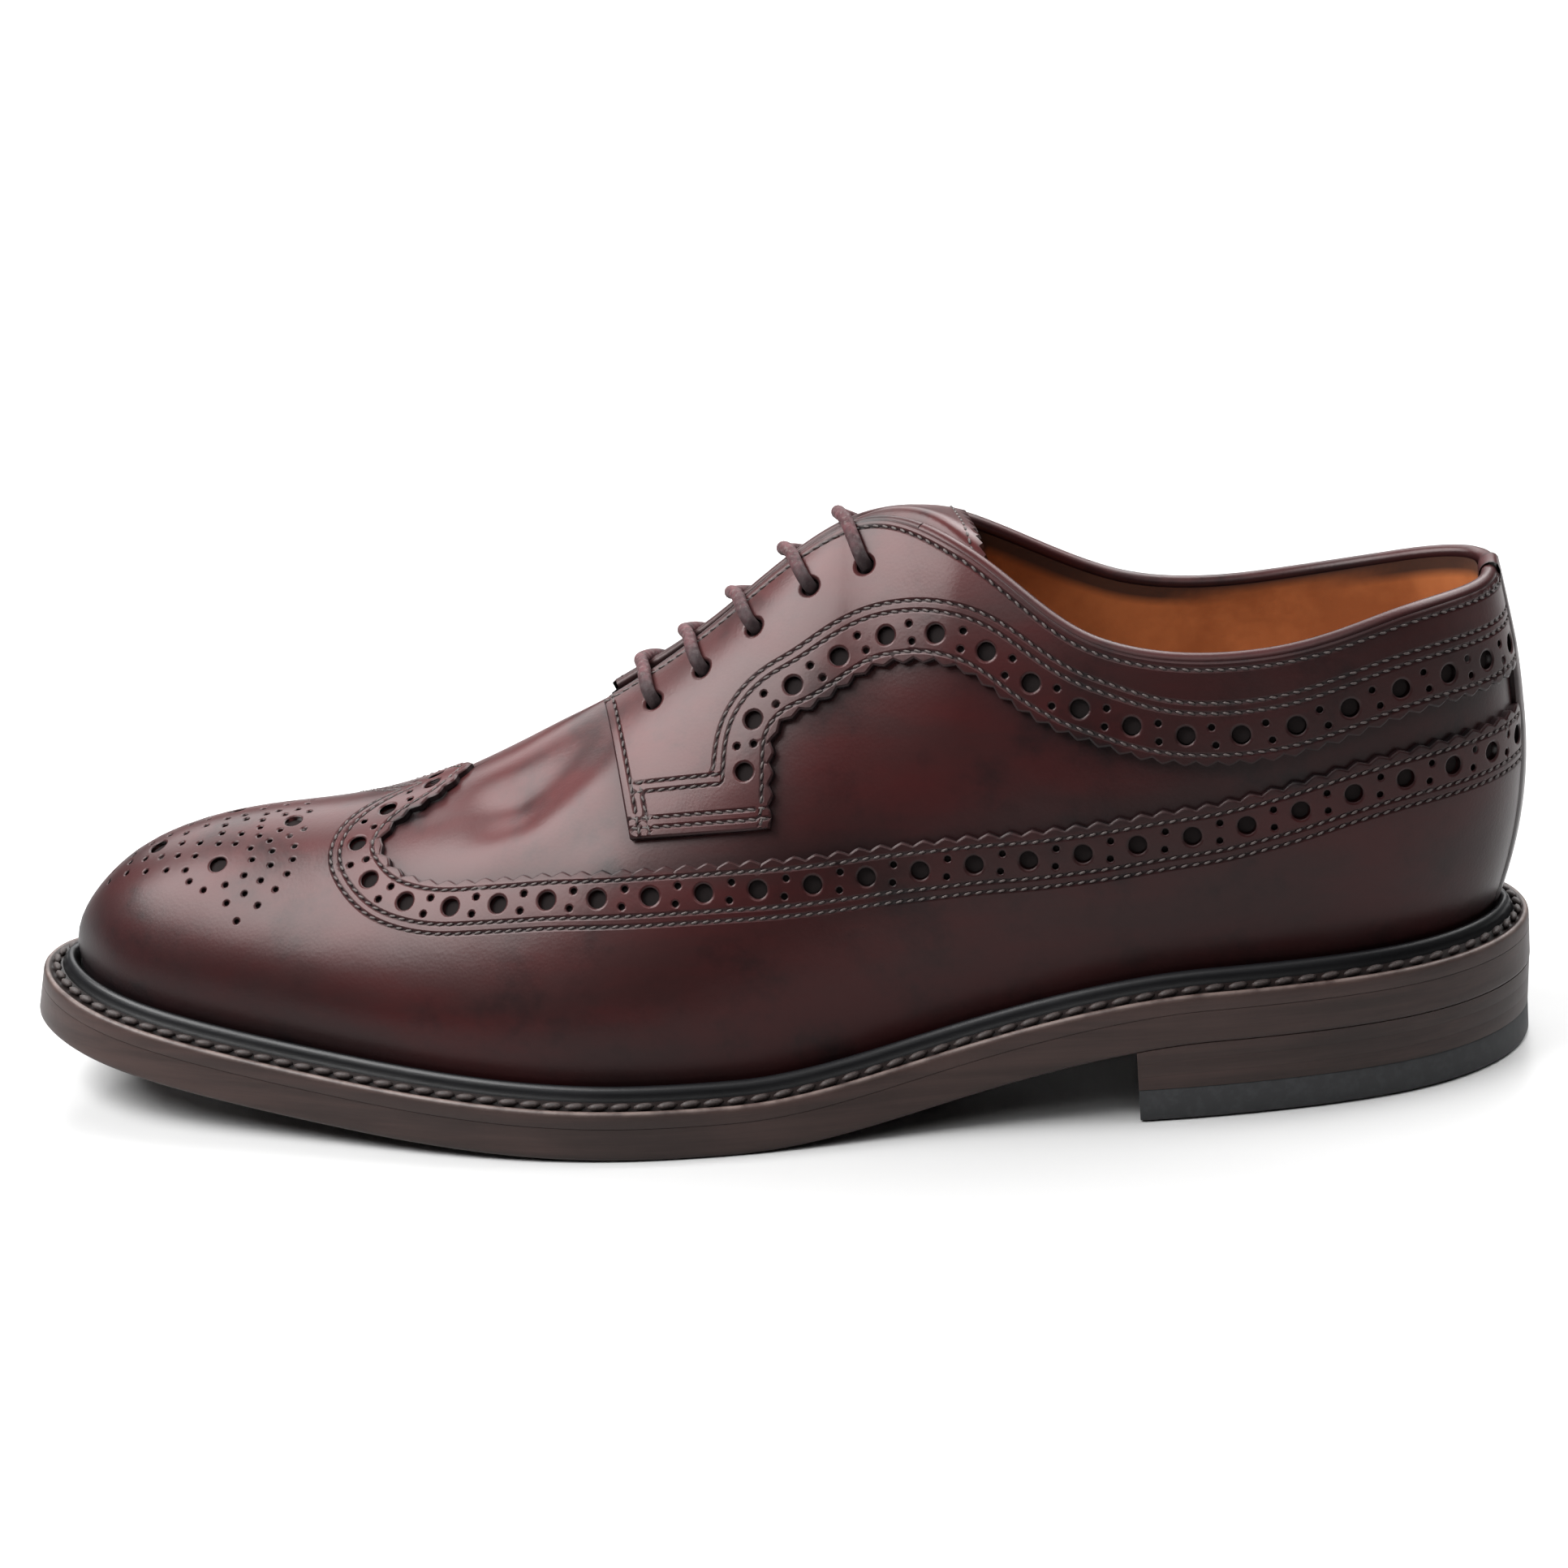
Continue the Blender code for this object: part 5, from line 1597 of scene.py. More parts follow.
class SHOE_OT_back_strip(ShoePiece, Operator):
    """Strip down the heel's back, folded over the collar"""

    bl_idname = "shoe.back_strip"
    bl_label = "Back strip"

    def execute(self, context):
        fold = np.linspace(0, math.pi, STRIP_FOLD_POINTS)[1:]
        radius = self.sizes.binding_radius + STRIP_FOLD_OVER
        upward = np.array([0, 0, 1.0])
        even = np.full(STRIP_SMOOTHING, 1 / STRIP_SMOOTHING)
        parts = []
        for side in SIDES:
            ways = np.linspace(0, STRIP_WAY, STRIP_LINES)
            low_edge = wing_edge(side).shares[0] + STRIP_MARGIN
            high_edge = quarter_edge(side).shares[0] - STRIP_MARGIN
            rows = []
            for way in ways:
                low = float(share_at_rise(side, way, PANEL_FOOT))
                high = float(open_share(side, way))
                shares = np.linspace(low, high, STRIP_POINTS)
                width = way / STRIP_WAY
                fall = EDGE_FALL * max(0, width - STRIP_ROUND) / (1 - STRIP_ROUND)
                covered = np.where(shares > high_edge, FACING_TOP, WING_TOP)
                between = (shares > low_edge) & (shares < high_edge)
                covered = np.where(between, WING_TOP * (1 - width ** 2), covered)
                covered = np.convolve(np.pad(covered, STRIP_SMOOTHING // 2, mode="edge"), even, mode="valid")
                wall = on_last(side, np.full(STRIP_POINTS, way), shares, covered + STRIP_OVER - fall)
                edge = on_last(side, way, high)
                outward = last_normal(side, way, high)
                over = [edge + radius * (math.cos(t) * outward + math.sin(t) * upward) for t in fold]
                down = over[-1] - upward * STRIP_INSIDE
                rows.append(np.concatenate([wall[:-1], [edge + radius * outward], over, [down]]))
            # The strip's rounded edge and its skirt are painted dark: painted shade along its edges.
            stains_and_shade = np.repeat(np.where(ways > STRIP_ROUND * STRIP_WAY, 0.7, 0.12), len(rows[0]))
            parts.append(lattice(np.concatenate(rows), len(rows[0]), side == LATERAL, stains_and_shade))
            foot = on_last(side, np.full(STRIP_POINTS - 1, STRIP_WAY), shares[:-1])
            skirt = np.concatenate([rows[-1][: len(foot)], foot])
            parts.append(lattice(skirt, len(foot), side != LATERAL, np.full(len(skirt), 0.9)))
        strip = leather_piece("back_strip_fold", self.leather(), *parts, weld=WELD)
        settle(strip, "upper_leather", "back_strip")
        return {"FINISHED"}


def across_way(side, way, drops, start_drop):
    """The ways at which a leaning line, from this way at one drop, meets these drops."""
    here = np.full(len(drops), way)
    start = last_point(side, way, share_at_drop(side, way, start_drop))
    heights = last_point(side, here, share_at_drop(side, here, drops))[:, 2]
    return way_at(along_at(way) - (start[2] - heights) * LACE_SLANT)


class SHOE_OT_tongue(ShoePiece, Operator):
    """Tongue with a pinked top"""

    bl_idname = "shoe.tongue"
    bl_label = "Tongue"

    def row(self, way, loose, lower):
        """One row of points across, from the outer side to the inner; loose rows stand as an even arch."""
        reach = np.linspace(1, 0, TONGUE_TEETH) * float(TONGUE_DROP(along_at(way)))
        halves = []
        for side in SIDES:
            here = np.full(len(reach), way)
            fall = crest(side, way)[2] - last_point(side, here, share_at_drop(side, here, reach))[:, 2]
            along = along_at(way) - fall * TONGUE_SLANT - (loose * TONGUE_SKEW if side == LATERAL else 0)
            ways = way_at(along)
            tucked = np.clip((reach - TONGUE_FLAT) / TONGUE_TUCK_REACH, 0, 1) * (1 - loose)
            lifted = loose * TONGUE_LIFT * (reach < TONGUE_FLAT)
            heights = -TONGUE_SINK - TONGUE_TUCK * tucked + lifted - lower
            halves.append(on_last(side, ways, share_at_drop(side, ways, reach), heights))
        line = np.concatenate([halves[LATERAL], halves[MEDIAL][::-1]])
        walked = distance_along(line)
        places = np.linspace(0, walked[-1], TONGUE_TEETH * TOOTH_POINTS + 1)
        line = np.stack([np.interp(places, walked, line[:, axis]) for axis in range(3)], axis=-1)
        for _ in range(int(TONGUE_PASSES * loose)):
            line[1:-1] = (line[:-2] + 2 * line[1:-1] + line[2:]) / 4
        return line

    def execute(self, context):
        ways = np.linspace(float(way_at(TONGUE_TOP)), float(way_at(TONGUE_ROOT)), TONGUE_ROWS)
        loose = np.clip(1 - np.arange(TONGUE_ROWS) / TONGUE_LOOSE_ROWS, 0, 1)
        leaf = np.array([self.row(way, share, 0) for way, share in zip(ways, loose)])
        under = np.array([self.row(way, share, TONGUE_THICK) for way, share in zip(ways, loose)])
        count = leaf.shape[1]
        teeth = np.abs((np.arange(count) / TOOTH_POINTS % 1) * 2 - 1)[:, None] - 0.5
        for rows in (leaf, under):
            rows[0] += unit(rows[0] - rows[2]) * teeth * TONGUE_TOOTH
        numbers = np.arange(TONGUE_ROWS * count).reshape(TONGUE_ROWS, count)
        faces = grid_faces(numbers.tolist(), True) + grid_faces((numbers + numbers.size).tolist())
        rim = np.concatenate([numbers[0, :-1], numbers[:-1, -1], numbers[-1, :0:-1], numbers[:0:-1, 0]])
        faces += [(a, b, b + numbers.size, a + numbers.size) for a, b in zip(rim, np.roll(rim, -1))]
        points = np.concatenate([leaf.reshape(-1, 3), under.reshape(-1, 3)])
        row_stains = np.where(np.arange(TONGUE_ROWS) == 0, TONGUE_END_STAIN, TONGUE_STAIN)
        stains_and_shade = np.tile(np.repeat(row_stains, count), 2)
        tongue = piece("tongue_leaf", points, faces, self.leather(), {"stain_and_shade": stains_and_shade}, TONGUE_WELD)
        settle(tongue, "upper_leather", "tongue")
        self.stitches(leaf)
        return {"FINISHED"}

    def stitches(self, leaf):
        """One row of stitches inside the pinked edge."""
        row, every = TONGUE_STITCH_ROW, TONGUE_STITCH_EVERY
        headings = leaf[row, 2:] - leaf[row, :-2]
        normals = np.cross(headings, (leaf[row + 1] - leaf[row - 1])[1:-1])
        normals = unit(normals) * np.sign(normals[:, 2:])
        headings = unit(headings)
        sewn = sew("tongue_stitches", leaf[row, 1:-1][::every], headings[::every], normals[::every],
                   self.sizes.stitch_length, self.sizes.thread_thick, self.thread())
        settle(sewn, "upper_leather")


class SHOE_OT_lining(ShoePiece, Operator):
    """Lining of the inside, and the sock on the insole"""

    bl_idname = "shoe.lining"
    bl_label = "Lining and sock"

    def execute(self, context):
        material = self.finish("tan_lining", tan_lining, self.colours)
        throat = float(way_at(THROAT))
        back = np.linspace(0, throat, LINING_BACK_STATIONS)
        stations = np.concatenate([back, np.linspace(throat, 0.995, LINING_FRONT_STATIONS)[1:]])
        parts = []
        for side in SIDES:
            tops = np.where(stations < throat + 1e-9, open_share(side, stations), 1.0)
            ways = np.repeat(stations, LINING_ROWS)
            shares = (tops[:, None] * np.linspace(0.02, 1, LINING_ROWS)).ravel()
            points = on_last(side, ways, shares, LINING_INSIDE)
            black = np.clip((along_at(ways) - LINING_BLACK) / LINING_BLACK_FADE, 0, 1)
            drop = (1 - shares) * LINING_WALL
            binding = np.clip((EDGE_DROP + LINING_BINDING - drop) / LINING_BINDING_FADE, 0, 1) * 0.9
            parts.append(lattice(points, LINING_ROWS, side != LATERAL, np.maximum(black, binding)))
        points, faces, stains_and_shade = join(*parts)
        lining = piece("lining", points, faces, material, {"stain_and_shade": stains_and_shade}, LINING_WELD)
        settle(lining, "insole_leather")
        ways = np.linspace(0, 1, SOCK_STATIONS)
        inset = rim_width(ways) + SOCK_INSET
        base = WELT_TOP + GAP
        rows = ((inset, base), (inset, base + SOCK_SIDE), (inset + SOCK_ROUND, base + SOCK_THICK))
        loops = [rim_loop(ways, *row) for row in rows]
        points, faces, stains_and_shade = ring_stack(loops, (0.3, 0.1, 0.0), False)
        sock = piece("sock", points, faces, material, {"stain_and_shade": stains_and_shade})
        settle(sock, "insole_leather", "insole")
        return {"FINISHED"}


class SHOE_OT_binding(ShoePiece, Operator):
    """Rolled binding along the collar and a bead along the slit"""

    bl_idname = "shoe.binding"
    bl_label = "Collar binding"

    def execute(self, context):
        front = float(way_at(COLLAR_FRONT))
        ways = np.linspace(front, 0, 90)
        halves = [on_last(side, ways, open_share(side, ways), BINDING_HEIGHT) for side in SIDES]
        path = np.concatenate([halves[0], halves[1][-2::-1]])
        self.roll("collar_binding", path, self.sizes.binding_radius, 12, 0.3)
        for side, name in zip(SIDES, ("slit_bead_lateral", "slit_bead_medial")):
            ways = np.linspace(float(way_at(BEAD_START)), front, 60)
            path = on_last(side, ways, share_at_drop(side, ways, BEAD_DROP), BEAD_HEIGHT)
            self.roll(name, path, BEAD_RADIUS, 10, 0.5)
        return {"FINISHED"}

    def roll(self, name, path, radius, sides, stain_and_shade):
        """A round roll of leather along a path."""
        points, faces = tube_mesh(tube(even_path(path, TUBE_STEP), radius, sides))
        roll = leather_piece(name, self.leather(), (points, faces, np.full(len(points), stain_and_shade)))
        settle(roll, "upper_leather")


def stitch_tree():
    """Geometry Nodes tree: a bead of thread on each point, along its heading and flat on the leather."""
    tree = bpy.data.node_groups.new("thread_stitches", "GeometryNodeTree")
    face = tree.interface
    face.new_socket("Geometry", in_out="INPUT", socket_type="NodeSocketGeometry")
    for name in ("Length", "Thickness"):
        face.new_socket(name, in_out="INPUT", socket_type="NodeSocketFloat")
    face.new_socket("Material", in_out="INPUT", socket_type="NodeSocketMaterial")
    face.new_socket("Geometry", in_out="OUTPUT", socket_type="NodeSocketGeometry")
    new = tree.nodes.new
    link = tree.links.new
    entry, leave = new("NodeGroupInput"), new("NodeGroupOutput")
    bead = new("GeometryNodeMeshUVSphere")
    bead.inputs["Segments"].default_value = 6
    bead.inputs["Rings"].default_value = 5
    bead.inputs["Radius"].default_value = 0.5
    size = new("ShaderNodeCombineXYZ")
    link(entry.outputs["Length"], size.inputs[0])
    link(entry.outputs["Thickness"], size.inputs[1])
    link(entry.outputs["Thickness"], size.inputs[2])
    shaped = new("GeometryNodeTransform")
    link(bead.outputs["Mesh"], shaped.inputs["Geometry"])
    link(size.outputs[0], shaped.inputs["Scale"])
    turns = []
    for name, axis, pivot in (("heading", "X", "AUTO"), ("outward", "Z", "X")):
        named = new("GeometryNodeInputNamedAttribute")
        named.data_type = "FLOAT_VECTOR"
        named.inputs["Name"].default_value = name
        turn = new("FunctionNodeAlignRotationToVector")
        turn.axis = axis
        turn.pivot_axis = pivot
        link(named.outputs[0], turn.inputs["Vector"])
        turns.append(turn)
    link(turns[0].outputs[0], turns[1].inputs["Rotation"])
    spots = new("GeometryNodeMeshToPoints")
    link(entry.outputs["Geometry"], spots.inputs[0])
    spread = new("GeometryNodeInstanceOnPoints")
    link(spots.outputs[0], spread.inputs["Points"])
    link(shaped.outputs[0], spread.inputs["Instance"])
    link(turns[1].outputs[0], spread.inputs["Rotation"])
    real = new("GeometryNodeRealizeInstances")
    link(spread.outputs[0], real.inputs[0])
    paint = new("GeometryNodeSetMaterial")
    link(real.outputs[0], paint.inputs["Geometry"])
    link(entry.outputs["Material"], paint.inputs["Material"])
    link(paint.outputs[0], leave.inputs[0])
    return tree


def sew(name, places, headings, normals, length, thick, material):
    """Stitches at places, made by the stitch tree and turned into a plain mesh."""
    tree = bpy.data.node_groups.get("thread_stitches") or stitch_tree()
    mesh = bpy.data.meshes.new(name)
    mesh.from_pydata([tuple(p) for p in places], [], [])
    for key, values in (("heading", headings), ("outward", normals)):
        attribute = mesh.attributes.new(key, "FLOAT_VECTOR", "POINT")
        attribute.data.foreach_set("vector", np.asarray(values, np.float32).ravel())
    obj = bpy.data.objects.new(name, mesh)
    bpy.context.scene.collection.objects.link(obj)
    modifier = obj.modifiers.new("stitches", "NODES")
    modifier.node_group = tree
    sockets = {item.name: item.identifier for item in tree.interface.items_tree if item.in_out == "INPUT"}
    modifier[sockets["Length"]] = length
    modifier[sockets["Thickness"]] = thick
    modifier[sockets["Material"]] = material
    evaluated = obj.evaluated_get(bpy.context.evaluated_depsgraph_get())
    made = bpy.data.meshes.new_from_object(evaluated)
    obj.modifiers.remove(modifier)
    obj.data = made
    made.name = name
    made.shade_smooth()
    bpy.data.meshes.remove(mesh)
    return obj


def stitch_places(trace, pitch, height, slant):
    """Centres of the stitches of a row, with their headings and the leather's outward direction."""
    runs = trace.evenly(pitch)
    run = (runs[:-1] + runs[1:]) / 2
    ways, shares = trace.at(run)
    heading, inward = trace.headings(run)
    heading = heading * math.cos(slant) + inward * math.sin(slant)
    return on_last(trace.side, ways, shares, height), heading, last_normal(trace.side, ways, shares)


class SHOE_OT_stitches(ShoePiece, Operator):
    """Thread of the upper's seams"""

    bl_idname = "shoe.stitches"
    bl_label = "Upper stitches"

    def execute(self, context):
        sizes = self.sizes
        seams = (("wing_stitches", wing_rows, WING_TOP), ("facing_stitches", facing_rows, FACING_TOP))
        for name, rows_of, top in seams:
            rows = [row for side in SIDES for row in rows_of(side)]
            found = [stitch_places(row, sizes.stitch_pitch, top - STITCH_SINK, STITCH_SLANT) for row in rows]
            places, headings, normals = [np.concatenate(some) for some in zip(*found)]
            sewn = sew(name, places, headings, normals,
                       sizes.stitch_length, sizes.thread_thick, self.thread())
            settle(sewn, "upper_leather")
        return {"FINISHED"}


class SHOE_OT_welt(ShoePiece, Operator):
    """Storm welt: stitched rim and raised rib, with its stitches"""

    bl_idname = "shoe.welt"
    bl_label = "Welt"

    def execute(self, context):
        ways = np.linspace(0, 1, RIM_STATIONS)
        width = rim_width(ways)
        rim = plain_leather("welt_rim", self.colours.rim, rough=0.4, streaks=0.5, gloss=0.32)
        black = plain_leather("storm_welt", self.colours.welt, rough=0.32, streaks=0.4, gloss=0.25)
        foot_reach, foot_height, _ = RIB_PROFILE[0]
        loops = [rim_loop(ways, inset * MM, height * MM) for inset, height, _, _ in WELT_PROFILE]
        loops.append(rim_loop(ways, width - foot_reach * MM, foot_height * MM))
        loops.append(rim_loop(ways, width + WELT_TONGUE, WELT_PROFILE[0][1] * MM))
        points, faces, stain_and_shade = ring_stack(loops, [row[2] for row in WELT_PROFILE] + [0.9, 1.0], True)
        # The rim's rounded top edge carries the painted highlight.
        wear_and_highlight = np.repeat([row[3] for row in WELT_PROFILE] + [0.0, 0.0], len(loops[0]))
        settle(piece("welt_rim", points, faces, rim, {"stain_and_shade": stain_and_shade, "wear_and_highlight": wear_and_highlight}), "welt_leather", "welt")
        loops = [rim_loop(ways, width - reach * MM, height * MM) for reach, height, _ in RIB_PROFILE]
        loops.append(rim_loop(ways, width - foot_reach * MM, (foot_height - RIB_SUNK) * MM))
        points, faces, stain_and_shade = ring_stack(loops, [row[2] for row in RIB_PROFILE] + [1.0], True)
        settle(piece("storm_rib", points, faces, black, {"stain_and_shade": stain_and_shade}), "welt_leather")
        settle(self.stitches(ways, width), "welt_leather")
        return {"FINISHED"}

    def stitches(self, ways, width):
        """Slanted beads of thick thread halfway between the rim and the rib, and never far from the rim."""
        thread = self.finish("welt_thread", thread_finish, "welt_thread", self.colours.welt_thread, 0.65)
        inset = np.minimum((width - RIB_PROFILE[1][0] * MM + WELT_STITCH_LIP) / 2, WELT_STITCH_INSET)
        places, headings = [], []
        for side in SIDES:
            line = bottom_point(side, ways, inset, WELT_STITCH_HEIGHT)
            length = distance_along(line)
            count = round(length[-1] / self.sizes.welt_stitch_pitch)
            even = (np.arange(count) + 0.5) * length[-1] / count
            here, ahead = [
                np.stack([np.interp(even + shift, length, line[:, k]) for k in range(3)], -1)
                for shift in (0, 0.5 * MM)]
            places.append(here)
            headings.append(ahead - here)
        places, headings = np.concatenate(places), unit(np.concatenate(headings))
        normals = np.tile((0.0, 0.0, 1.0), (len(places), 1))
        headings = headings + WELT_STITCH_SLANT * np.cross(normals, headings)
        return sew("welt_stitches", places, headings, normals, WELT_STITCH_LONG, WELT_STITCH_THICK, thread)


class SHOE_OT_sole(ShoePiece, Operator):
    """Leather outsole, stacked heel and rubber top piece"""

    bl_idname = "shoe.sole"
    bl_label = "Sole and heel"

    def heel_loop(self, inset, height_of):
        """The heel's outline from the breast round its back, this far inside the sole's."""
        ways = np.linspace(float(way_at(HEEL_BREAST)), 0, HEEL_STATIONS)
        halves = [rim_point(side, ways) - rim_normal(side, ways) * inset for side in SIDES]
        back = (halves[0][-1:] + halves[1][-1:]) / 2
        plan = np.concatenate([halves[0][:-1], back, halves[1][-2::-1]])
        plan[[0, -1], 0] = LENGTH / 2 - HEEL_BREAST
        return np.column_stack([plan, np.broadcast_to(height_of(LENGTH / 2 - plan[:, 0]), len(plan))])

    def heel_mesh(self, loops, stains_and_shade):
        """Skin through heel loops from the top down, with its breast and both ends filled."""
        count = len(loops[0])
        numbers = np.arange(len(loops) * count).reshape(len(loops), count).tolist()
        faces = grid_faces(numbers, True, closed=True)
        faces += cap(numbers[0], count - 1, False) + cap(numbers[-1], count - 1, True)
        return np.concatenate(loops), faces, np.repeat(np.asarray(stains_and_shade, float), count)

    def execute(self, context):
        edge = plain_leather("sole_edge", self.colours.edge, rough=0.36, streaks=0.55, gloss=0.27)
        ways = np.linspace(0, 1, RIM_STATIONS)
        loops = [rim_loop(ways, inset * MM, height * MM) for inset, height, _ in SOLE_PROFILE]
        points, faces, stains_and_shade = ring_stack(loops, [row[2] for row in SOLE_PROFILE], False)
        settle(piece("leather_sole", points, faces, edge, {"stain_and_shade": stains_and_shade}), "sole_leather", "outsole")
        total = float(ground(0))
        bottom = TOP_PIECE_THICK + HEEL_JOINT

        def between(share):
            return lambda along: ground(along) * (1 - share) + bottom * share

        loops, stains_and_shade = [], []
        for lift in range(HEEL_LIFTS):
            for place, inset, stain_and_shade in LIFT_PROFILE:
                share = (lift + place) / HEEL_LIFTS
                reach = HEEL_FLUSH + HEEL_TAPER * share * (1 - TOP_PIECE_THICK / total) + inset * MM
                loops.append(self.heel_loop(reach, between(share)))
                stains_and_shade.append(stain_and_shade)
        points, faces, stains_and_shade = self.heel_mesh(loops, stains_and_shade)
        settle(piece("heel_lifts", points, faces, edge, {"stain_and_shade": stains_and_shade}), "sole_leather", "heel_stack")
        rubber = heel_rubber(self.colours)
        joint = HEEL_FLUSH + HEEL_TAPER * (1 - TOP_PIECE_THICK / total)
        loops = [self.heel_loop(joint + inset, lambda along, level=height: level)
                 for inset, height, _ in TOP_PIECE_PROFILE]
        points, faces, stains_and_shade = self.heel_mesh(loops, [row[2] for row in TOP_PIECE_PROFILE])
        top_piece = piece("rubber_top_piece", points, faces, rubber, {"stain_and_shade": stains_and_shade})
        settle(top_piece, "heel_rubber", "heel_top_piece")
        return {"FINISHED"}


class SHOE_OT_lace(ShoePiece, Operator):
    """One waxed lace: straight bars outside, and hidden runs from row to row that stop at the top eyelets"""

    bl_idname = "shoe.lace"
    bl_label = "Lace"

    def bar(self, row, start):
        """Points of one bar, from the eyelet on its starting side to the other, and how dark each is painted:
        painted shade where it nears the eyelets.
        """
        way = eyelet_ways()[row]
        drops, heights = np.array(LACE_PATH).T * MM
        halves = []
        for side in (start, 1 - start):
            ways = across_way(side, way, drops, EYELET_DROP)
            if side == MEDIAL:
                skewed = np.clip((EYELET_DROP - drops) / EYELET_DROP, 0, 1)
                ways = way_at(along_at(ways) + LACE_SKEW * skewed)
            halves.append(on_last(side, ways, share_at_drop(side, ways, drops), heights))
        dark = np.clip((drops - LACE_DARK_DROP) / LACE_DARK_REACH, 0, 1)
        return np.concatenate([halves[0], halves[1][::-1]]), np.concatenate([dark, dark[::-1]])

    def under(self, side, places, drops):
        """Points inside the shoe, under the lining and over the tongue, painted dark as shade."""
        ways = way_at(places)
        points = on_last(side, ways, share_at_drop(side, ways, drops), LACE_UNDER)
        return points, np.ones(len(ways))

    def execute(self, context):
        eyelets = along_at(np.array(eyelet_ways()))
        last_row, last_side = LACE_BARS[-1][0], 1 - LACE_BARS[-1][1]
        parts = []
        for number, (row, start) in enumerate(LACE_BARS):
            if number == 0:
                place = eyelets[row] - np.array([LACE_TAIL, LACE_TAIL / 2])
                parts.append(self.under(start, place, np.full(2, EYELET_DROP)))
            else:
                share = np.array(LACE_RUN_SHARES)
                before = eyelets[LACE_BARS[number - 1][0]]
                bow = LACE_BOWS[number - 1] * MM * np.sin(math.pi * share)
                parts.append(self.under(start, before + (eyelets[row] - before) * share, EYELET_DROP + bow))
            parts.append(self.bar(row, start))
        tail = eyelets[last_row] + np.array([LACE_TAIL / 2, LACE_TAIL])
        parts.append(self.under(last_side, tail, np.full(2, EYELET_DROP)))
        places, dark = [np.concatenate(some) for some in zip(*parts)]
        path = even_path(places, LACE_STEP)
        points, faces = tube_mesh(tube(path, self.sizes.lace_radius, LACE_SIDES))
        run = np.repeat(np.arange(len(path)) * LACE_STEP, LACE_SIDES)
        turn = np.tile(np.arange(LACE_SIDES) / LACE_SIDES * 2 * math.pi, len(path))
        wound, strands = run / BRAID_PITCH, BRAID_STRANDS * turn
        braid = 0.5 + 0.25 * (np.sin(wound + strands) + np.sin(wound - strands))
        walked = distance_along(places)
        stain_and_shade = np.repeat(np.interp(np.linspace(0, walked[-1], len(path)), walked, dark), LACE_SIDES)
        material = self.finish("waxed_lace", lace_finish, self.colours)
        lace = piece("lace", points, faces, material, {"braid": braid, "stain_and_shade": stain_and_shade})
        settle(lace, "lace", *[f"lace_bar_{row}" for row in range(1, EYELETS + 1)])
        return {"FINISHED"}


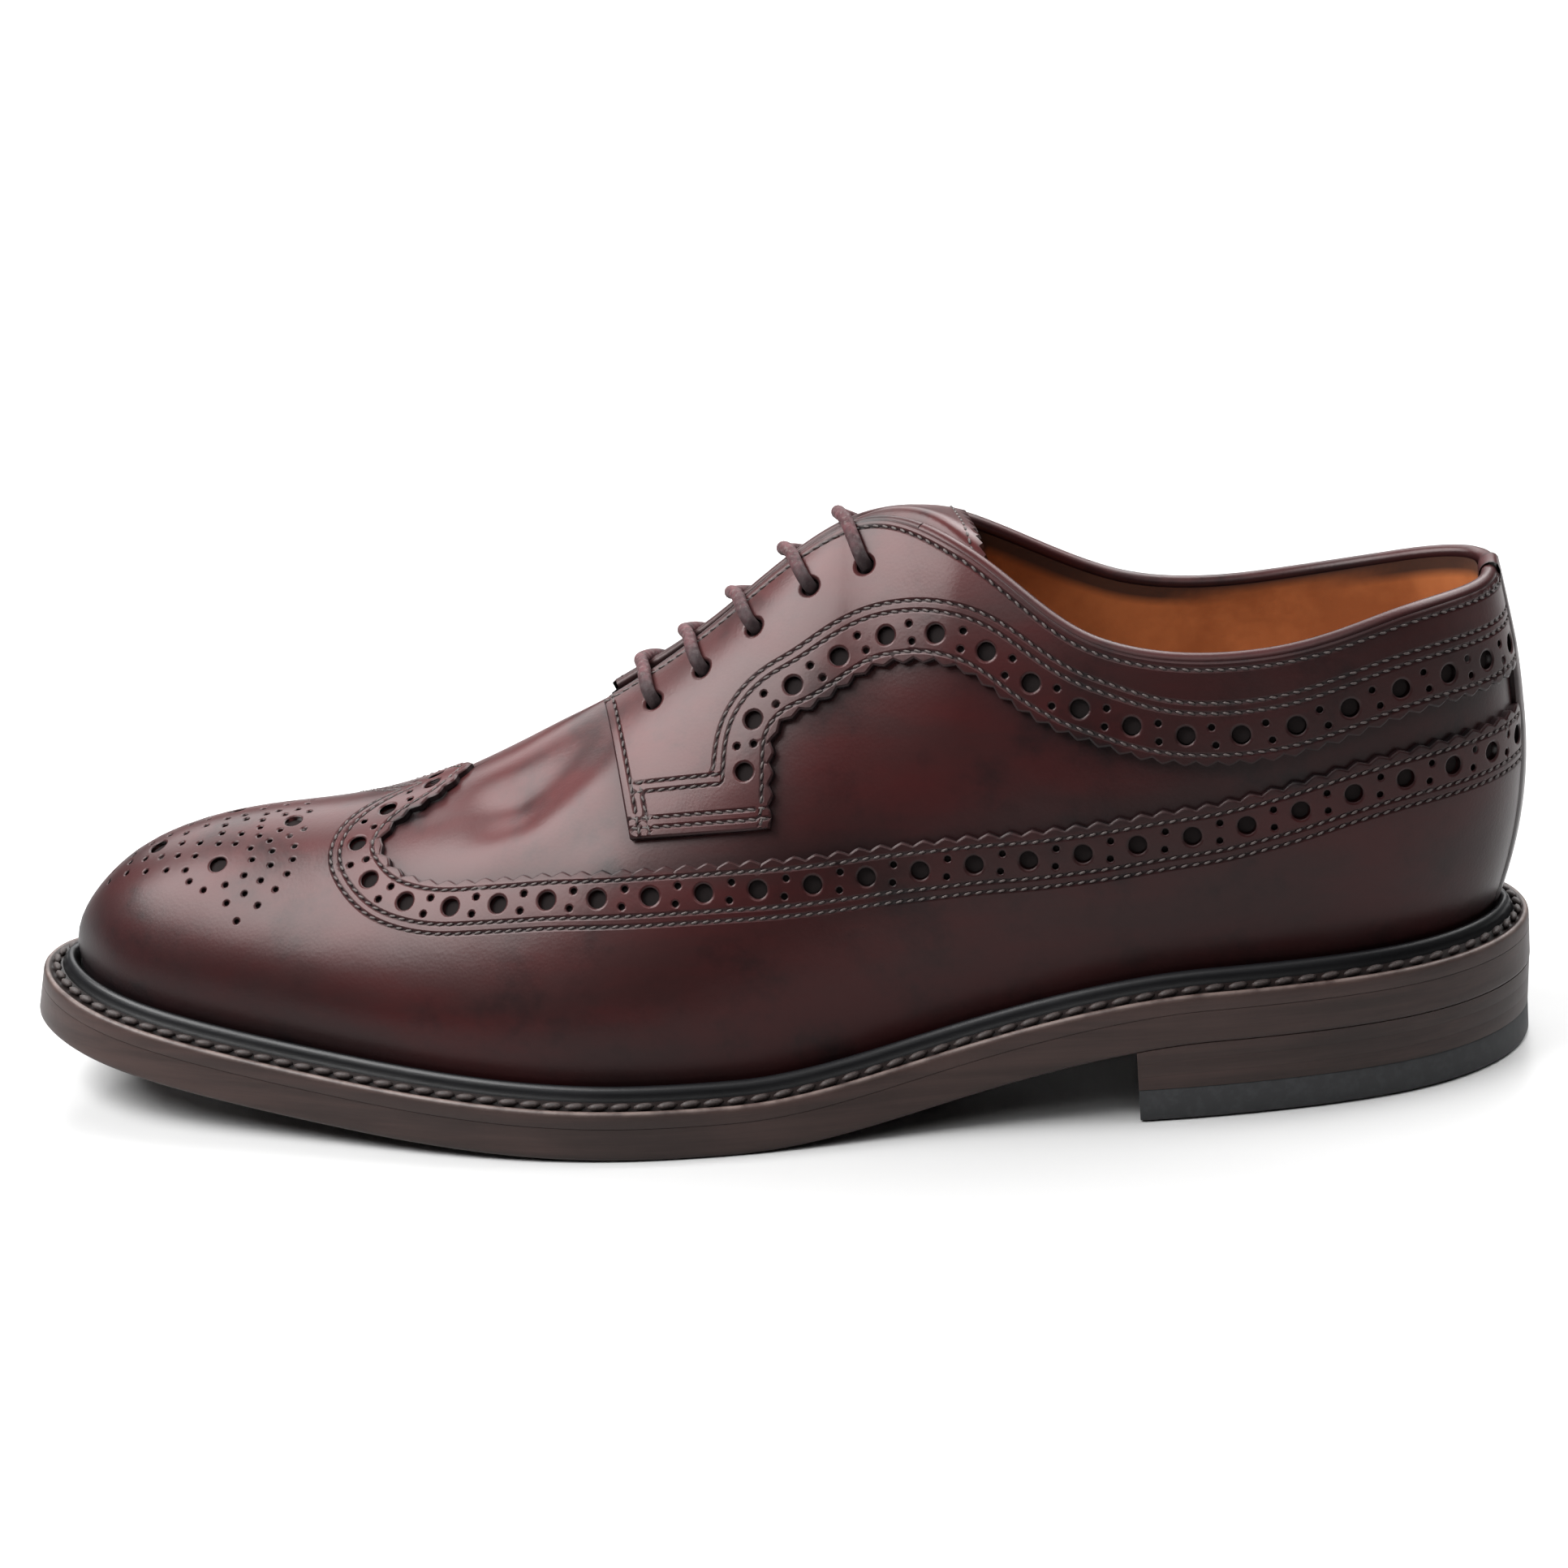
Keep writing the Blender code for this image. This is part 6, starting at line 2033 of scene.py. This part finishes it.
class SHOE_OT_stage(Operator):
    """Pale floor, soft studio light and the camera"""

    bl_idname = "shoe.stage"
    bl_label = "Stage"

    def floor(self):
        finish = Finish("pale_floor")
        material = finish.set(Base_Color=(*FLOOR_COLOUR, 1), Roughness=0.3, Specular_IOR_Level=0.3)
        mesh = bpy.data.meshes.new("floor")
        corners = [(x * FLOOR_REACH, y * FLOOR_REACH, 0) for x, y in ((-1, -1), (1, -1), (1, 1), (-1, 1))]
        mesh.from_pydata(corners, [], [(0, 1, 2, 3)])
        mesh.materials.append(material)
        floor = bpy.data.objects.new("floor", mesh)
        floor.location.z = -FLOOR_GAP
        bpy.context.scene.collection.objects.link(floor)

    def softbox(self, name, place, aim, width, depth, power, spread=math.pi):
        light = bpy.data.lights.new(name, "AREA")
        light.shape = "RECTANGLE"
        light.size = width
        light.size_y = depth
        light.energy = power
        light.spread = spread
        lamp = bpy.data.objects.new(name, light)
        lamp.location = place
        lamp.rotation_euler = (Vector(aim) - Vector(place)).to_track_quat("-Z", "Y").to_euler()
        bpy.context.scene.collection.objects.link(lamp)

    def camera(self):
        """The photograph's view: turned, raised and rolled about a point of the shoe."""
        turn = Matrix.Rotation(-VIEW_TURN, 3, "Z")
        right = turn @ Vector((1, 0, 0))
        up = turn @ Vector((0, math.sin(VIEW_RISE), math.cos(VIEW_RISE)))
        back = turn @ Vector((0, -math.cos(VIEW_RISE), math.sin(VIEW_RISE)))
        rolled_right = right * math.cos(VIEW_ROLL) + up * math.sin(VIEW_ROLL)
        rolled_up = up * math.cos(VIEW_ROLL) - right * math.sin(VIEW_ROLL)
        data = bpy.data.cameras.new("camera")
        data.sensor_width = SENSOR
        data.lens = SENSOR * FOCUS_PIXELS / FRAME_PIXELS
        data.shift_x = (FRAME_PIXELS / 2 - VIEW_POINT_PIXEL[0]) / FRAME_PIXELS
        data.shift_y = (VIEW_POINT_PIXEL[1] - FRAME_PIXELS / 2) / FRAME_PIXELS
        data.clip_start = 0.05
        camera = bpy.data.objects.new("camera", data)
        bpy.context.scene.collection.objects.link(camera)
        basis = Matrix((rolled_right, rolled_up, back)).transposed().to_4x4()
        camera.matrix_world = Matrix.Translation(VIEW_POINT + back * VIEW_DISTANCE) @ basis
        bpy.context.scene.camera = camera

    def execute(self, context):
        self.floor()
        scene = bpy.context.scene
        scene.view_settings.view_transform = "Standard"
        world = bpy.data.worlds.new("studio")
        world.use_nodes = True
        background = world.node_tree.nodes["Background"]
        background.inputs["Color"].default_value = (1, 1, 1, 1)
        background.inputs["Strength"].default_value = WORLD_STRENGTH
        scene.world = world
        for name, turn, rise, width, depth, power in SOFTBOXES:
            turn, rise = math.radians(turn), math.radians(rise)
            away = Vector((math.sin(turn) * math.cos(rise), -math.cos(turn) * math.cos(rise), math.sin(rise)))
            self.softbox(name, LIGHT_AIM + away * LIGHT_DISTANCE, LIGHT_AIM, width, depth, power)
        self.softbox("backdrop_light", BACKDROP_PLACE, BACKDROP_AIM, *BACKDROP_SIZE,
                     BACKDROP_POWER, BACKDROP_SPREAD)
        self.camera()
        return {"FINISHED"}


PIECES = (
    SHOE_OT_upper, SHOE_OT_wing, SHOE_OT_facings, SHOE_OT_back_strip, SHOE_OT_tongue, SHOE_OT_lining,
    SHOE_OT_binding, SHOE_OT_stitches, SHOE_OT_welt, SHOE_OT_sole, SHOE_OT_lace, SHOE_OT_stage,
)


class SHOE_PT_pieces(Panel):
    """The shoe's pieces, sizes and colours"""

    bl_label = "Brogue derby"
    bl_idname = "SHOE_PT_pieces"
    bl_space_type = "VIEW_3D"
    bl_region_type = "UI"
    bl_category = "Shoe"

    def draw(self, context):
        for made in PIECES:
            self.layout.operator(made.bl_idname)
        for group in (context.scene.shoe_sizes, context.scene.shoe_colours):
            box = self.layout.box()
            for name in group.__annotations__:
                box.prop(group, name)


CLASSES = (ShoeSizes, ShoeColours, *PIECES, SHOE_PT_pieces)


def register():
    for made in CLASSES:
        bpy.utils.register_class(made)
    bpy.types.Scene.shoe_sizes = PointerProperty(type=ShoeSizes)
    bpy.types.Scene.shoe_colours = PointerProperty(type=ShoeColours)


def unregister():
    del bpy.types.Scene.shoe_colours
    del bpy.types.Scene.shoe_sizes
    for made in reversed(CLASSES):
        bpy.utils.unregister_class(made)


def main():
    register()
    bpy.ops.shoe.upper()
    bpy.ops.shoe.wing()
    bpy.ops.shoe.facings()
    bpy.ops.shoe.back_strip()
    bpy.ops.shoe.tongue()
    bpy.ops.shoe.lining()
    bpy.ops.shoe.binding()
    bpy.ops.shoe.stitches()
    bpy.ops.shoe.welt()
    bpy.ops.shoe.sole()
    bpy.ops.shoe.lace()
    bpy.ops.shoe.stage()


if __name__ == "__main__":
    main()
